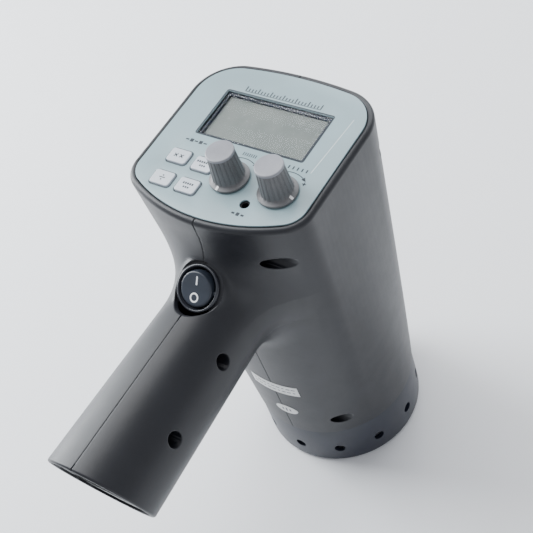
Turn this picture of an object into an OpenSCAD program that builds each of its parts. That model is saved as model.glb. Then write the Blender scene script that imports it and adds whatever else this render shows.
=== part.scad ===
// Handheld digital flash stroboscope: a lamp head with a pistol handle, a control panel
// on top and the flash lamp underneath. +Z runs from the lens ring to the panel, the
// handle points along -Y, and the two housing shells meet on the plane X = 0.

/* [Head] */
// Height of the panel face above the rim of the lens ring
body_h = 223.5; // [200:0.5:280]
// Width of the head at the panel, outside the rim
head_w = 101; // [94:0.5:125]
// Distance from the lamp axis to the front edge of the head at the panel
head_front = 53; // [51:0.5:66]
// Distance from the lamp axis to the rear edge of the head at the panel
head_rear = 44.2; // [43:0.2:55]
// Radius of the bowed front edge of the panel outline
front_bow_r = 91; // [85:1:160]
// Radius of the bowed rear edge of the panel outline
rear_bow_r = 224; // [150:1:400]
// Radius of the front corners of the panel outline
front_corner_r = 15; // [12:0.5:20]
// Radius of the rear corners of the panel outline
rear_corner_r = 23.5; // [18:0.5:30]
// Thickness of the housing walls
wall = 2.5; // [2.2:0.1:3]

/* [Lens ring] */
// Outer radius of the lens ring
ring_r = 46.2; // [45:0.2:56]
// Visible height of the lens ring
ring_h = 33; // [32:0.5:45]
// Wall of the open mouth of the ring
mouth_wall = 2.7; // [2.4:0.1:3.2]
// Depth of the open mouth in front of the lens seat
mouth_depth = 17; // [15:0.5:19]
// Number of vent holes round the mouth
vent_count = 12; // [6:1:16]
// Diameter of a vent hole
vent_d = 6.2; // [4:0.2:8]
// Height of the vent holes' centres
vent_z = 13.5; // [12.5:0.1:13.7]

/* [Lamp] */
// Focal length of the reflector
reflector_focus = 10; // [8:0.5:12]
// Thickness of the lens disc
lens_t = 3; // [2:0.5:4]
// Outer diameter of the flash tube's glass
tube_d = 5; // [4:0.2:6]
// Distance between the two legs of the flash tube
tube_pitch = 11; // [10:0.5:12]

/* [Handle] */
// Distance from the lamp axis to the top of the handle's end
handle_reach = 168; // [150:1:205]
// Height of the handle's top line
handle_top = 188; // [184:0.5:190]
// Width of the handle next to the head
handle_root_w = 47; // [45:0.5:52]
// Depth of the handle next to the head
handle_root_h = 52.5; // [50:0.5:56]
// Width of the handle at its end
handle_end_w = 54; // [52:0.5:62]
// Depth of the handle at its end
handle_end_h = 57; // [54:0.5:62]
// Lean of the handle's end face, its lower edge nearer the head
end_lean = 12; // [8:0.5:15]

/* [Panel] */
// Width of the shells' rim round the panel
rim_w = 3.2; // [3:0.1:4]
// Thickness of the panel plate
plate_t = 2.5; // [2:0.1:3]
// Thickness of the printed overlay
overlay_t = 0.8; // [0.5:0.1:1]
// Width of the display window
window_w = 59.9; // [50:0.1:64]
// Depth of the display window
window_h = 29.2; // [24:0.1:31]
// Y of the middle of the display window
window_y = 10.5; // [9:0.1:12]
// Width of a key cap
key_w = 11.1; // [9:0.1:12]
// Depth of a key cap
key_h = 8.1; // [7:0.1:9]
// How far a key stands above the panel
key_rise = 1; // [0.8:0.1:1.5]
// Travel of a key
key_travel = 0.5; // [0.3:0.1:0.6]
// Diameter of the external trigger socket's opening in the panel
ext_hole_d = 5; // [4.8:0.1:6]

/* [Knobs] */
// X of the coarse knob's shaft
coarse_x = 29.3; // [28:0.1:31]
// X of the fine knob's shaft
fine_x = 2.8; // [1:0.1:4]
// Y of both shafts
knob_y = -24.2; // [-26:0.1:-22]
// Diameter of a knob's skirt
knob_skirt_d = 19.5; // [18:0.1:22]
// Diameter at the top of a knob
knob_top_d = 13.7; // [12:0.1:15]
// Height of a knob's top above the panel
knob_rise = 18.6; // [16:0.1:22]
// Diameter of the potentiometer shafts
shaft_d = 6; // [6:0.35:6.35]

/* [Power switch] */
// Y of the switch's centre, on its seat
switch_y = -64.7; // [-66:0.1:-63]
// Z of the switch's centre, on its seat
switch_z = 188.8; // [187:0.1:190]
// Lean of the switch's face from upright towards the handle
switch_lean = 37; // [34:0.5:40]
// Outer diameter of the switch's bezel
bezel_d = 23; // [22:0.1:24]
// Swing of the rocker from off to on
rocker_swing = 20; // [14:1:24]

/* [Fasteners] */
// Diameter of the recesses over the housing screws' heads
screw_recess_d = 7.8; // [7:0.1:8.4]
// Diameter of the housing screws
screw_d = 2.9; // [2.6:0.1:3.2]
// Clearance between pieces that fit together
fit_gap = 0.15; // [0.1:0.05:0.2]

/* [Hidden] */

$fn = 48;
hull_fn = 32;
slice = 0.2;
beyond = 1;
half = head_w / 2;

// Panel stack, from the ledge in the shells up to the printed face
plate_bottom = body_h - overlay_t - plate_t;
plate_top = body_h - overlay_t;
tongue_t = 1.2;
tongue_in = rim_w - 1;
ledge_t = 3.5;
ledge_in = rim_w + 1.5;
shell_top = body_h - 0.3;
rim_bevel = 3;

// Lens ring and what seats in it
shell_bottom = ring_h + fit_gap;
shell_bottom_r = ring_r + 0.4;
spigot_r = shell_bottom_r - wall - fit_gap;
spigot_top = ring_h + 7;
spigot_wall = 1.4;
bead_z = ring_h + 2.5;
bead_t = 2;
bead_out = 1.2;
seat_in = 3.2;
seat_t = 1.8;
seat_r = spigot_r - spigot_wall;
gasket_t = 1;
gasket_z = mouth_depth + seat_t;
lens_z = gasket_z + gasket_t;
reflector_z = lens_z + lens_t;
reflector_t = 1;
flange_t = 1.2;
retainer_z = reflector_z + flange_t;
retainer_t = 3;
dish_r = seat_r - 4.5;
apex_z = retainer_z + pow(dish_r, 2) / (4 * reflector_focus);
neck_r = 9;
neck_z = apex_z - pow(neck_r, 2) / (4 * reflector_focus);
neck_top = neck_z + 5;
socket_flange_t = 3;
socket_top = neck_top + socket_flange_t + 9;

// Board and parts under the panel
board_t = 1.6;
board_z = plate_bottom - 12;
board_in = 8;
board_top = board_z + board_t;
posts = [[36, 28], [-36, 28], [42, -28], [-42, -28]];
post_r = 3;
pilot_r = 1.1;
pot_r = 8.2;
bush_r = shaft_d / 2 + 0.5;
bush_top = body_h + 2.5;
nut_t = 2;
nut_af = 2 * bush_r + 3;
ext_xy = [17.9, -35.2];
jack_bore_r = 1.8;
key_xy = [[-28.8, -20.9], [-28.8, -35.2], [-13.9, -21.6], [-14.1, -35.4]];
key_gap = 0.3;
key_flange = 1.2;
window_t = 1.2;
window_z = plate_top - window_t + 0.5;
frame_gap = 0.2;
frame_t = 1.4;
display_z = board_top + 1;
display_top = plate_bottom + 0.3;
knob_gap = 0.5;
knob_cap_t = 1.6;
knob_bottom = body_h + knob_gap;
knob_top = body_h + knob_rise;
skirt_t = 1.6;

// Handle and blend sections
handle_root_y = -70;
blend_y = -40;
blend_grow_w = 17;
blend_grow_h = 25.5;
cap_inset = wall + 7.5 * fit_gap;
well_corner = 9;
well_wall = 1;
cap_flange_in = 1.45;
cap_flange_t = 1.5;
cap_recess = 1.2;
cap_t = 3;
well_w = 43;
well_h = 27;
well_d = 5;
inlet_drop = 3;
inlet_w = 30;
inlet_h = 22.5;
inlet_d = 18;
cavity_w = 24.2;
cavity_h = 16.7;
cavity_d = 15;
inlet_back = cap_recess + well_d + 1.5 + inlet_d;
pin_tail = 1.5;

// Power switch
bezel_t = 2;
housing_r = bezel_d / 2 - 1.5;
housing_d = 19;
terminal_l = 8;
seat_gap = 1.5;
rocker_ball = housing_r - 1.1;
rocker_gap = 0.3;
rocker_top = 3.4;
rocker_slope = 7;
trunnion_r = 1.2;
trunnion_end = housing_r - 0.25;

// Housing screws: Y and Z of each axis; the last two are behind the lamp axis
screw_yz = [[-36.4, 47], [-44, 199], [-87, 171], [-130, 170], [36.5, 47], [34, 199]];
boss_wall = 2;
screw_seat_x = 6;
screw_head_r = 3;
screw_head_t = 2.2;
screw_end_x = -8;

// Supply board and its parts
pcb_y = 22;
pcb_w = 64;
pcb_bottom = 86;
pcb_top = 164;
rail_t = 2;
rail_in = 3;
cap_r = 11;
cap_len = 38;

wire_r = 0.9;
thin_wire_r = 0.6;
shell_grey = [0.18, 0.19, 0.22];

// ---- outlines and lofts ----

function arc(c, r, a0, a1, n) = [
    for (i = [0:n])
        let (a = a0 + (a1 - a0) * i / n)
        c + r * [cos(a), sin(a)]
];

// Panel outline with bowed front and rear edges, drawn inside the rim by inset
function outline_points(inset) =
    let (
        fx = half - front_corner_r,
        rx = half - rear_corner_r,
        fc = front_bow_r - head_front,
        rc = head_rear - rear_bow_r,
        fa = asin(fx / (front_bow_r - front_corner_r)),
        ra = asin(rx / (rear_bow_r - rear_corner_r)),
        fy = fc - (front_bow_r - front_corner_r) * cos(fa),
        ry = rc + (rear_bow_r - rear_corner_r) * cos(ra)
    )
    concat(
        arc([0, fc], front_bow_r - inset, -90 - fa, -90 + fa, 12),
        arc([fx, fy], front_corner_r - inset, -90 + fa, 0, 8),
        arc([rx, ry], rear_corner_r - inset, 0, 90 - ra, 8),
        arc([0, rc], rear_bow_r - inset, 90 - ra, 90 + ra, 6),
        arc([-rx, ry], rear_corner_r - inset, 90 + ra, 180, 8),
        arc([-fx, fy], front_corner_r - inset, 180, 270 - fa, 8)
    );

module slab(inset, z0, z1) {
    translate([0, 0, z0])
        linear_extrude(z1 - z0)
            polygon(outline_points(inset));
}

module oval(w, h) {
    polygon([for (a = [0:10:350]) [w / 2 * cos(a), h / 2 * sin(a)]]);
}

module rounded(w, h, r) {
    square([w - 2 * r, h], center = true);
    square([w, h - 2 * r], center = true);
    for (x = [-1, 1], y = [-1, 1])
        translate([x * (w / 2 - r), y * (h / 2 - r)])
            circle(r);
}

// Head: a round foot over the lens ring, lofted up to the panel outline
module head_loft(inset, top) {
    hull() {
        translate([0, 0, shell_bottom - (inset > 0 ? beyond : 0)])
            cylinder(r = shell_bottom_r - inset, h = slice, $fn = 2 * hull_fn);
        slab(inset, top - rim_bevel, top - rim_bevel + slice);
        if (inset <= 0)
            slab(inset + rim_bevel * 0.7, top - slice, top);
    }
}

// Oval section across the handle's run, standing on y, its top at top_z
module handle_slice(y, w, h, mid_z) {
    translate([0, y, mid_z])
        rotate([90, 0, 0])
            linear_extrude(slice)
                oval(w, h);
}

// Frame of the handle's end face: +Z out of the face, +Y up the face
module at_handle_end(depth) {
    translate([0, -handle_reach, handle_top])
        rotate([90 + end_lean, 0, 0])
            translate([0, -handle_end_h / cos(end_lean) / 2, -depth])
                children();
}

module handle_loft(inset) {
    root_mid = handle_top - handle_root_h / 2;
    hull() {
        handle_slice(handle_root_y + 10, handle_root_w - 2 * inset, handle_root_h - 2 * inset, root_mid);
        at_handle_end(inset > 0 ? -beyond : slice)
            linear_extrude(slice)
                oval(handle_end_w - 2 * inset, handle_end_h / cos(end_lean) - 2 * inset);
    }
}

// Flare where the handle runs into the head
module blend_loft(inset) {
    root_mid = handle_top - handle_root_h / 2;
    hull() {
        handle_slice(handle_root_y, handle_root_w - 2 * inset, handle_root_h - 2 * inset, root_mid);
        handle_slice(blend_y, handle_root_w + 2 * (blend_grow_w - inset),
            handle_root_h + 2 * (blend_grow_h - inset), root_mid);
    }
}

module at_switch(depth) {
    translate([0, switch_y, switch_z])
        rotate([switch_lean, 0, 0])
            translate([0, 0, -depth])
                children();
}

module along_x(yz, x0, x1, r) {
    translate([x0, yz[0], yz[1]])
        rotate([0, 90, 0])
            cylinder(r = r, h = x1 - x0, $fn = 32);
}

// The same places as points: x across, up along the face, depth into the handle
function end_point(x, up, depth) =
    let (down = handle_end_h / cos(end_lean) / 2 - up)
    [x, -handle_reach + down * sin(end_lean) + depth * cos(end_lean),
        handle_top - down * cos(end_lean) + depth * sin(end_lean)];

function switch_point(x, up, depth) =
    [x, switch_y + up * cos(switch_lean) + depth * sin(switch_lean),
        switch_z + up * sin(switch_lean) - depth * cos(switch_lean)];

// Round-cornered wire through a list of points
module wire(points, r) {
    for (i = [0:len(points) - 2]) {
        d = points[i + 1] - points[i];
        translate(points[i])
            rotate([0, acos(d[2] / norm(d)), atan2(d[1], d[0])])
                cylinder(r = r, h = norm(d), $fn = 16);
        if (i < len(points) - 2)
            translate(points[i + 1])
                sphere(r + 0.06, $fn = 20);
    }
}

// ---- housing ----

// side is 1 for the right shell, which has the screw recesses, and -1 for the left one
module shell_half(side) {
    boss_r = screw_recess_d / 2 + boss_wall;
    difference() {
        intersection() {
            union() {
                head_loft(0, shell_top);
                handle_loft(0);
                blend_loft(0);
            }
            translate([side > 0 ? 0 : -100, -250, 0])
                cube([100, 400, 400]);
            union() {
                difference() {
                    translate([-100, -250, 0])
                        cube([200, 400, 400]);
                    head_loft(wall, body_h + rim_bevel);
                    handle_loft(wall);
                    blend_loft(wall);
                }
                for (yz = screw_yz)
                    along_x(yz, -100, 100, boss_r);
                difference() {
                    slab(-beyond, plate_bottom - ledge_t, body_h);
                    slab(ledge_in, plate_bottom - ledge_t - beyond, body_h + beyond);
                }
                for (y = [pcb_y - rail_t - fit_gap, pcb_y + board_t + fit_gap])
                    translate([side > 0 ? pcb_w / 2 - rail_in : -100, y, pcb_bottom + 2])
                        cube([100 - pcb_w / 2 + rail_in, rail_t, pcb_top - pcb_bottom - 4]);
            }
        }
        // Panel pocket and the groove that holds the panel's tongue
        slab(rim_w, plate_bottom, body_h + beyond);
        slab(tongue_in - fit_gap, plate_bottom, plate_bottom + tongue_t + fit_gap);
        // Bead groove over the lens ring's spigot
        translate([0, 0, bead_z - fit_gap])
            cylinder(r = spigot_r + bead_out + fit_gap, h = bead_t + 2 * fit_gap, $fn = 96);
        // Spot face and hole for the power switch
        at_switch(0)
            cylinder(r = bezel_d / 2 + seat_gap, h = 30);
        at_switch(housing_d + 4)
            cylinder(r = housing_r + fit_gap, h = 40);
        // Groove for the end cap
        at_handle_end(cap_recess + cap_t + fit_gap)
            linear_extrude(cap_flange_t + 2 * fit_gap)
                oval(handle_end_w - 2 * cap_flange_in + 2 * fit_gap,
                    handle_end_h / cos(end_lean) - 2 * cap_flange_in + 2 * fit_gap);
        for (yz = screw_yz)
            if (side > 0) {
                along_x(yz, -1, 100, screw_d / 2 + 0.3);
                along_x(yz, screw_seat_x, 100, screw_recess_d / 2);
            } else {
                along_x(yz, screw_end_x - 1.5, 1, screw_d / 2 + 0.03);
            }
    }
}

module left_shell() { color(shell_grey) shell_half(-1); }

module right_shell() { color(shell_grey) shell_half(1); }

module shell_screws() {
    color("silver")
        for (yz = screw_yz)
            difference() {
                union() {
                    along_x(yz, screw_end_x, screw_seat_x, screw_d / 2);
                    along_x(yz, screw_seat_x, screw_seat_x + screw_head_t, screw_head_r);
                }
                for (turn = [0, 90])
                    translate([screw_seat_x + screw_head_t - 1.2, yz[0], yz[1]])
                        rotate([turn, 0, 0])
                            translate([0, -0.4, -2])
                                cube([2, 0.8, 4]);
            }
}

// ---- lamp end ----

module front_ring() {
    edge = 2;
    mouth_r = ring_r - mouth_wall;
    color([0.19, 0.20, 0.25])
        difference() {
            union() {
                cylinder(r1 = ring_r - edge, r2 = ring_r, h = edge, $fn = 96);
                translate([0, 0, edge])
                    cylinder(r = ring_r, h = ring_h - edge, $fn = 96);
                cylinder(r = spigot_r, h = spigot_top, $fn = 96);
                translate([0, 0, bead_z])
                    cylinder(r = spigot_r + bead_out, h = bead_t, $fn = 96);
            }
            translate([0, 0, -beyond])
                cylinder(r = mouth_r, h = mouth_depth + beyond, $fn = 96);
            cylinder(r = seat_r - seat_in, h = spigot_top + beyond, $fn = 96);
            translate([0, 0, gasket_z])
                cylinder(r = seat_r, h = spigot_top, $fn = 96);
            for (i = [0:vent_count - 1])
                rotate([0, 0, 360 / vent_count * i])
                    translate([mouth_r - 4, 0, vent_z])
                        rotate([0, 90, 0])
                            cylinder(d = vent_d, h = 12, $fn = 24);
        }
}

module ring_band(r_out, r_in, z0, h) {
    translate([0, 0, z0])
        difference() {
            cylinder(r = r_out, h = h, $fn = 96);
            translate([0, 0, -beyond])
                cylinder(r = r_in, h = h + 2 * beyond, $fn = 96);
        }
}

module lens_gasket() {
    color([0.1, 0.1, 0.1])
        ring_band(seat_r - fit_gap, seat_r - seat_in, gasket_z, gasket_t);
}

module front_lens() {
    color([0.85, 0.92, 0.95, 0.35])
        translate([0, 0, lens_z])
            cylinder(r = seat_r - fit_gap, h = lens_t, $fn = 96);
}

module lens_retainer() {
    color([0.15, 0.15, 0.16])
        ring_band(seat_r - fit_gap / 3, dish_r + reflector_t + 0.5, retainer_z, retainer_t);
}

// Height of the dish's inner face at radius r
function dish_z(r) = apex_z - pow(r, 2) / (4 * reflector_focus);

// Parabolic dish with a flat rim and a short neck, drawn as one closed profile
module reflector() {
    steps = 16;
    radii = [for (i = [0:steps]) dish_r + (neck_r - dish_r) * i / steps];
    outer = [for (i = [0:steps]) [radii[i] + reflector_t, dish_z(radii[i])]];
    inner = [for (i = [steps:-1:0]) [radii[i], dish_z(radii[i])]];
    rim = [[dish_r, reflector_z], [seat_r - fit_gap, reflector_z], [seat_r - fit_gap, retainer_z]];
    neck = [[neck_r + reflector_t, neck_top], [neck_r, neck_top]];
    color("gainsboro")
        rotate_extrude($fn = 64)
            polygon(concat(rim, outer, neck, inner));
}

// U-shaped xenon tube with its bend towards the lens
module tube_u(r, leg_top) {
    bend_z = retainer_z + 10;
    for (x = [-1, 1])
        translate([x * tube_pitch / 2, 0, bend_z])
            cylinder(r = r, h = leg_top - bend_z, $fn = 32);
    translate([0, 0, bend_z])
        rotate([-90, 0, 0])
            rotate_extrude(angle = 180, $fn = 48)
                translate([tube_pitch / 2, 0])
                    circle(r, $fn = 32);
}

module flash_tube() {
    color([0.9, 0.95, 1, 0.35])
        difference() {
            tube_u(tube_d / 2, neck_z + 4);
            tube_u(tube_d / 2 - 0.7, neck_z + 5);
        }
}

module tube_electrodes() {
    color("silver")
        for (x = [-1, 1])
            translate([x * tube_pitch / 2, 0, neck_z - 6]) {
                cylinder(r = 1.3, h = 5, $fn = 24);
                cylinder(r = 0.5, h = 12, $fn = 16);
            }
}

module lamp_socket() {
    color("ivory")
        difference() {
            union() {
                translate([0, 0, neck_z])
                    cylinder(r = neck_r - fit_gap, h = neck_top - neck_z + 1);
                translate([0, 0, neck_top])
                    cylinder(r = 14, h = socket_flange_t);
                translate([0, 0, neck_top + socket_flange_t - 0.5])
                    cylinder(r = 11, h = socket_top - neck_top - socket_flange_t + 0.5);
            }
            for (x = [-1, 1])
                translate([x * tube_pitch / 2, 0, neck_z - beyond]) {
                    cylinder(r = tube_d / 2 + fit_gap, h = 5.4);
                    cylinder(r = 0.65, h = 40, $fn = 16);
                }
        }
}

// ---- panel ----

module key_holes(gap, z0, z1) {
    for (xy = key_xy)
        translate([xy[0] - key_w / 2 - gap, xy[1] - key_h / 2 - gap, z0])
            cube([key_w + 2 * gap, key_h + 2 * gap, z1 - z0]);
}

module panel_holes(z0, z1) {
    key_holes(key_gap, z0, z1);
    for (x = [fine_x, coarse_x])
        translate([x, knob_y, z0])
            cylinder(r = bush_r + fit_gap, h = z1 - z0);
    translate([ext_xy[0], ext_xy[1], z0])
        cylinder(d = ext_hole_d, h = z1 - z0);
}

module panel_plate() {
    color([0.2, 0.21, 0.24])
        difference() {
            union() {
                slab(tongue_in, plate_bottom, plate_bottom + tongue_t);
                slab(rim_w + fit_gap, plate_bottom + tongue_t - 0.1, plate_top);
                for (xy = posts)
                    translate([xy[0], xy[1], board_top])
                        cylinder(r = post_r, h = plate_bottom - board_top + 0.5);
            }
            panel_holes(plate_bottom - beyond, plate_top + beyond);
            translate([-window_w / 2, window_y - window_h / 2, plate_bottom - beyond])
                cube([window_w, window_h, plate_t + 2 * beyond]);
            for (xy = posts)
                translate([xy[0], xy[1], board_top - beyond])
                    cylinder(r = pilot_r + 0.03, h = 8);
        }
}

module panel_overlay() {
    color([0.66, 0.73, 0.76])
        difference() {
            slab(rim_w + 0.3, plate_top, body_h);
            panel_holes(plate_top - beyond, body_h + beyond);
            translate([-window_w / 2, window_y - window_h / 2, plate_top - beyond])
                cube([window_w, window_h, overlay_t + 2 * beyond]);
        }
}

module lcd_window() {
    color([0.8, 0.85, 0.85, 0.35])
        translate([0, window_y, window_z])
            linear_extrude(window_t)
                square([window_w - 2 * frame_gap, window_h - 2 * frame_gap], center = true);
}

// Dark frame under the window, round the display
module lcd_frame() {
    hole_in = frame_gap + frame_t;
    color([0.12, 0.14, 0.19])
        translate([0, window_y, display_z])
            linear_extrude(window_z - 0.1 - display_z)
                difference() {
                    square([window_w - 2 * frame_gap, window_h - 2 * frame_gap], center = true);
                    square([window_w - 2 * hole_in, window_h - 2 * hole_in], center = true);
                }
}

// Display glass on its backlight, with a row of leads along each long side
module lcd_module() {
    display_in = frame_gap + frame_t + 0.1;
    lead = 0.6;
    color([0.55, 0.57, 0.56])
        translate([0, window_y, display_z]) {
            linear_extrude(display_top - display_z)
                square([window_w - 2 * display_in, window_h - 2 * display_in], center = true);
            for (i = [0:15], side = [-1, 1])
                translate([3.1 * (i - 7.5), side * (window_h / 2 - display_in - 1), -1])
                    linear_extrude(1.5)
                        square(lead, center = true);
        }
}

module main_board() {
    color([0.12, 0.35, 0.2])
        difference() {
            slab(board_in, board_z, board_top);
            for (xy = posts)
                translate([xy[0], xy[1], board_z - beyond])
                    cylinder(r = pilot_r + 0.4, h = board_t + 2 * beyond);
        }
}

module board_screws() {
    color("silver")
        for (xy = posts)
            translate([xy[0], xy[1], 0]) {
                translate([0, 0, board_z - 1.8])
                    cylinder(r = 2.4, h = 1.8);
                translate([0, 0, board_z - 0.5])
                    cylinder(r = pilot_r, h = 7);
            }
}

module key_switches() {
    color([0.1, 0.1, 0.1])
        for (xy = key_xy)
            translate([xy[0], xy[1], board_top]) {
                translate([-3, -3, 0])
                    cube([6, 6, 4]);
                cylinder(r = 1.75, h = 5, $fn = 24);
            }
}

// Key cap with a stem down to its switch and a flange that stops it under the plate
module key_cap(i) {
    stem_bottom = board_top + 5 + key_travel + 0.1;
    flange_z = plate_bottom - 0.1 - 1;
    color([0.85, 0.87, 0.9])
        translate([key_xy[i][0], key_xy[i][1], 0]) {
            translate([0, 0, flange_z])
                linear_extrude(body_h + key_rise - flange_z)
                    rounded(key_w, key_h, 1.5);
            translate([-key_w / 2 + 1, -key_h / 2 + 1, flange_z])
                cube([key_w - 1 + key_flange, key_h - 1 + key_flange, 1]);
            translate([0, 0, stem_bottom])
                cylinder(r = 2, h = flange_z - stem_bottom + 0.5, $fn = 24);
        }
}

module double_key() { key_cap(0); }

module halve_key() { key_cap(1); }

module mode_key() { key_cap(2); }

module range_key() { key_cap(3); }

// ---- potentiometers and knobs ----

module knob(x) {
    base_r = knob_skirt_d / 2 - 1.6;
    color([0.45, 0.46, 0.48])
        translate([x, knob_y, 0])
            difference() {
                union() {
                    translate([0, 0, knob_bottom])
                        cylinder(d = knob_skirt_d, h = skirt_t);
                    translate([0, 0, knob_bottom + skirt_t - 0.1])
                        cylinder(r1 = base_r, r2 = knob_top_d / 2,
                            h = knob_top - knob_cap_t - knob_bottom - skirt_t + 0.1);
                }
                translate([0, 0, knob_bottom - beyond])
                    cylinder(r = nut_af * 0.64, h = bush_top - knob_bottom + beyond + 0.4);
                translate([0, 0, knob_bottom])
                    cylinder(d = shaft_d, h = knob_top - knob_cap_t - 1.5 - knob_bottom);
            }
}

module knob_cap(x) {
    top_r = knob_top_d / 2;
    color([0.64, 0.65, 0.69])
        translate([x, knob_y, knob_top - knob_cap_t]) {
            cylinder(r = top_r - 0.1, h = knob_cap_t - 0.8);
            translate([0, 0, knob_cap_t - 0.8])
                cylinder(r1 = top_r - 0.1, r2 = top_r - 1, h = 0.8);
        }
}

module pot_shaft(x) {
    color("silver")
        translate([x, knob_y, 0]) {
            translate([0, 0, board_top + 1.5])
                cylinder(d = shaft_d, h = knob_top - knob_cap_t - 1.5 - board_top - 1.5);
            translate([0, 0, board_top + 3])
                cylinder(r = pot_r - 1.1, h = 2);
        }
}

module pot_body(x) {
    can_bottom = board_top + 0.5;
    color([0.6, 0.6, 0.62])
        translate([x, knob_y, 0])
            difference() {
                union() {
                    translate([0, 0, can_bottom])
                        cylinder(r = pot_r, h = plate_bottom - 0.1 - can_bottom);
                    translate([0, 0, plate_bottom - 0.6])
                        cylinder(r = bush_r, h = bush_top - plate_bottom + 0.6);
                }
                translate([0, 0, board_top + 2.6])
                    cylinder(r = pot_r - 0.8, h = 2.8);
                translate([0, 0, board_top + 1.4])
                    cylinder(d = shaft_d + 0.1, h = 40);
            }
}

module fine_knob() { knob(fine_x); }

module fine_knob_cap() { knob_cap(fine_x); }

module fine_shaft() { pot_shaft(fine_x); }

module fine_pot() { pot_body(fine_x); }

module coarse_knob() { knob(coarse_x); }

module coarse_knob_cap() { knob_cap(coarse_x); }

module coarse_shaft() { pot_shaft(coarse_x); }

module coarse_pot() { pot_body(coarse_x); }

module pot_nuts() {
    color("silver")
        for (x = [fine_x, coarse_x])
            translate([x, knob_y, body_h])
                difference() {
                    cylinder(d = nut_af / cos(30), h = nut_t, $fn = 6);
                    translate([0, 0, -beyond])
                        cylinder(r = bush_r + 0.03, h = nut_t + 2 * beyond);
                }
}

module ext_jack() {
    color([0.08, 0.08, 0.09])
        translate([ext_xy[0], ext_xy[1], 0])
            difference() {
                union() {
                    translate([-4, -4, board_top])
                        cube([8, 8, plate_bottom - 0.1 - board_top]);
                    translate([0, 0, plate_bottom - 1])
                        cylinder(d = ext_hole_d - 0.1, h = plate_t + 0.6);
                }
                translate([0, 0, board_top + 1])
                    cylinder(r = jack_bore_r, h = 20);
            }
}

// ---- power switch ----

module switch_body() {
    color([0.1, 0.1, 0.12])
        difference() {
            union() {
                at_switch(0)
                    cylinder(d = bezel_d, h = bezel_t);
                at_switch(housing_d)
                    cylinder(r = housing_r, h = housing_d + 0.5);
            }
            at_switch(rocker_ball + 1)
                cylinder(r = rocker_ball + rocker_gap, h = rocker_ball + bezel_t + 2);
            at_switch(0)
                rotate([0, 90, 0])
                    cylinder(r = trunnion_r + 0.1, h = 2 * trunnion_end + 0.4, center = true);
        }
}

module switch_terminals() {
    color("silver")
        for (y = [-4, 4])
            at_switch(housing_d + terminal_l)
                translate([-3.15, y - 0.4, 0])
                    cube([6.3, 0.8, terminal_l]);
}

// Rocker cut from a ball round its pivot, with a shallow valley across the middle
module switch_rocker() {
    color([0.29, 0.33, 0.38])
        at_switch(0)
            rotate([rocker_swing / 2, 0, 0]) {
                difference() {
                    sphere(rocker_ball, $fn = 64);
                    translate([-20, -20, -44])
                        cube([40, 40, 40]);
                    for (s = [-1, 1])
                        translate([0, 0, rocker_top - 0.8])
                            rotate([s * rocker_slope, 0, 0])
                                translate([-20, s > 0 ? 0 : -40, 0])
                                    cube([40, 40, 20]);
                }
                rotate([0, 90, 0])
                    cylinder(r = trunnion_r, h = 2 * trunnion_end, center = true);
            }
}

// ---- handle end ----

module end_cap() {
    cap_h = handle_end_h / cos(end_lean);
    color([0.3, 0.31, 0.33])
        difference() {
            union() {
                at_handle_end(cap_recess + cap_t)
                    linear_extrude(cap_t)
                        oval(handle_end_w - 2 * cap_inset, cap_h - 2 * cap_inset);
                at_handle_end(cap_recess + cap_t)
                    linear_extrude(cap_flange_t)
                        oval(handle_end_w - 2 * cap_flange_in, cap_h - 2 * cap_flange_in);
                at_handle_end(cap_recess + well_d + 1.5)
                    translate([0, -inlet_drop, 0])
                        linear_extrude(well_d)
                            rounded(well_w + 2 * well_wall, well_h + 2 * well_wall, well_corner + well_wall);
            }
            at_handle_end(cap_recess + well_d)
                translate([0, -inlet_drop, 0])
                    linear_extrude(well_d + beyond)
                        rounded(well_w, well_h, well_corner);
            at_handle_end(cap_recess + well_d + 10)
                translate([0, -inlet_drop, 0])
                    linear_extrude(20)
                        square([inlet_w - 3, inlet_h - 3], center = true);
        }
}

// Appliance inlet: a block behind the well with a keyed cavity for the connector
module mains_inlet() {
    key = 5;
    color([0.06, 0.06, 0.07])
        at_handle_end(inlet_back)
            translate([0, -inlet_drop, 0])
                difference() {
                    union() {
                        linear_extrude(inlet_d)
                            square([inlet_w, inlet_h], center = true);
                        linear_extrude(inlet_d + 1.5)
                            square([inlet_w - 3.3, inlet_h - 3.3], center = true);
                    }
                    translate([0, 0, inlet_d + 1.5 - cavity_d])
                        linear_extrude(cavity_d + beyond)
                            polygon([
                                [-cavity_w / 2, -cavity_h / 2], [cavity_w / 2, -cavity_h / 2],
                                [cavity_w / 2, cavity_h / 2 - key], [cavity_w / 2 - key, cavity_h / 2],
                                [-cavity_w / 2 + key, cavity_h / 2], [-cavity_w / 2, cavity_h / 2 - key]
                            ]);
                    for (p = [[-7, -2], [7, -2], [0, 2]])
                        translate([p[0] - 1.02, p[1] - 2.02, -beyond])
                            cube([2.04, 4.04, inlet_d]);
                }
}

module inlet_pins() {
    color("silver")
        at_handle_end(inlet_back + pin_tail)
            translate([0, -inlet_drop, 0])
                for (p = [[-7, -2], [7, -2], [0, 2]])
                    translate([p[0] - 1, p[1] - 2, 0])
                        cube([2, 4, inlet_d + pin_tail - 2]);
}

// ---- supply board ----

module power_board() {
    color([0.12, 0.35, 0.2])
        translate([-pcb_w / 2, pcb_y, pcb_bottom])
            cube([pcb_w, board_t, pcb_top - pcb_bottom]);
}

module storage_capacitors() {
    color([0.15, 0.2, 0.45])
        for (z = [pcb_bottom + 1, pcb_bottom + cap_len + 2])
            translate([-17, pcb_y - cap_r - 0.3, z])
                difference() {
                    cylinder(r = cap_r, h = cap_len - 1);
                    translate([0, 0, 3])
                        ring_band(cap_r + 1, cap_r - 0.6, 0, 1.2);
                }
}

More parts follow.
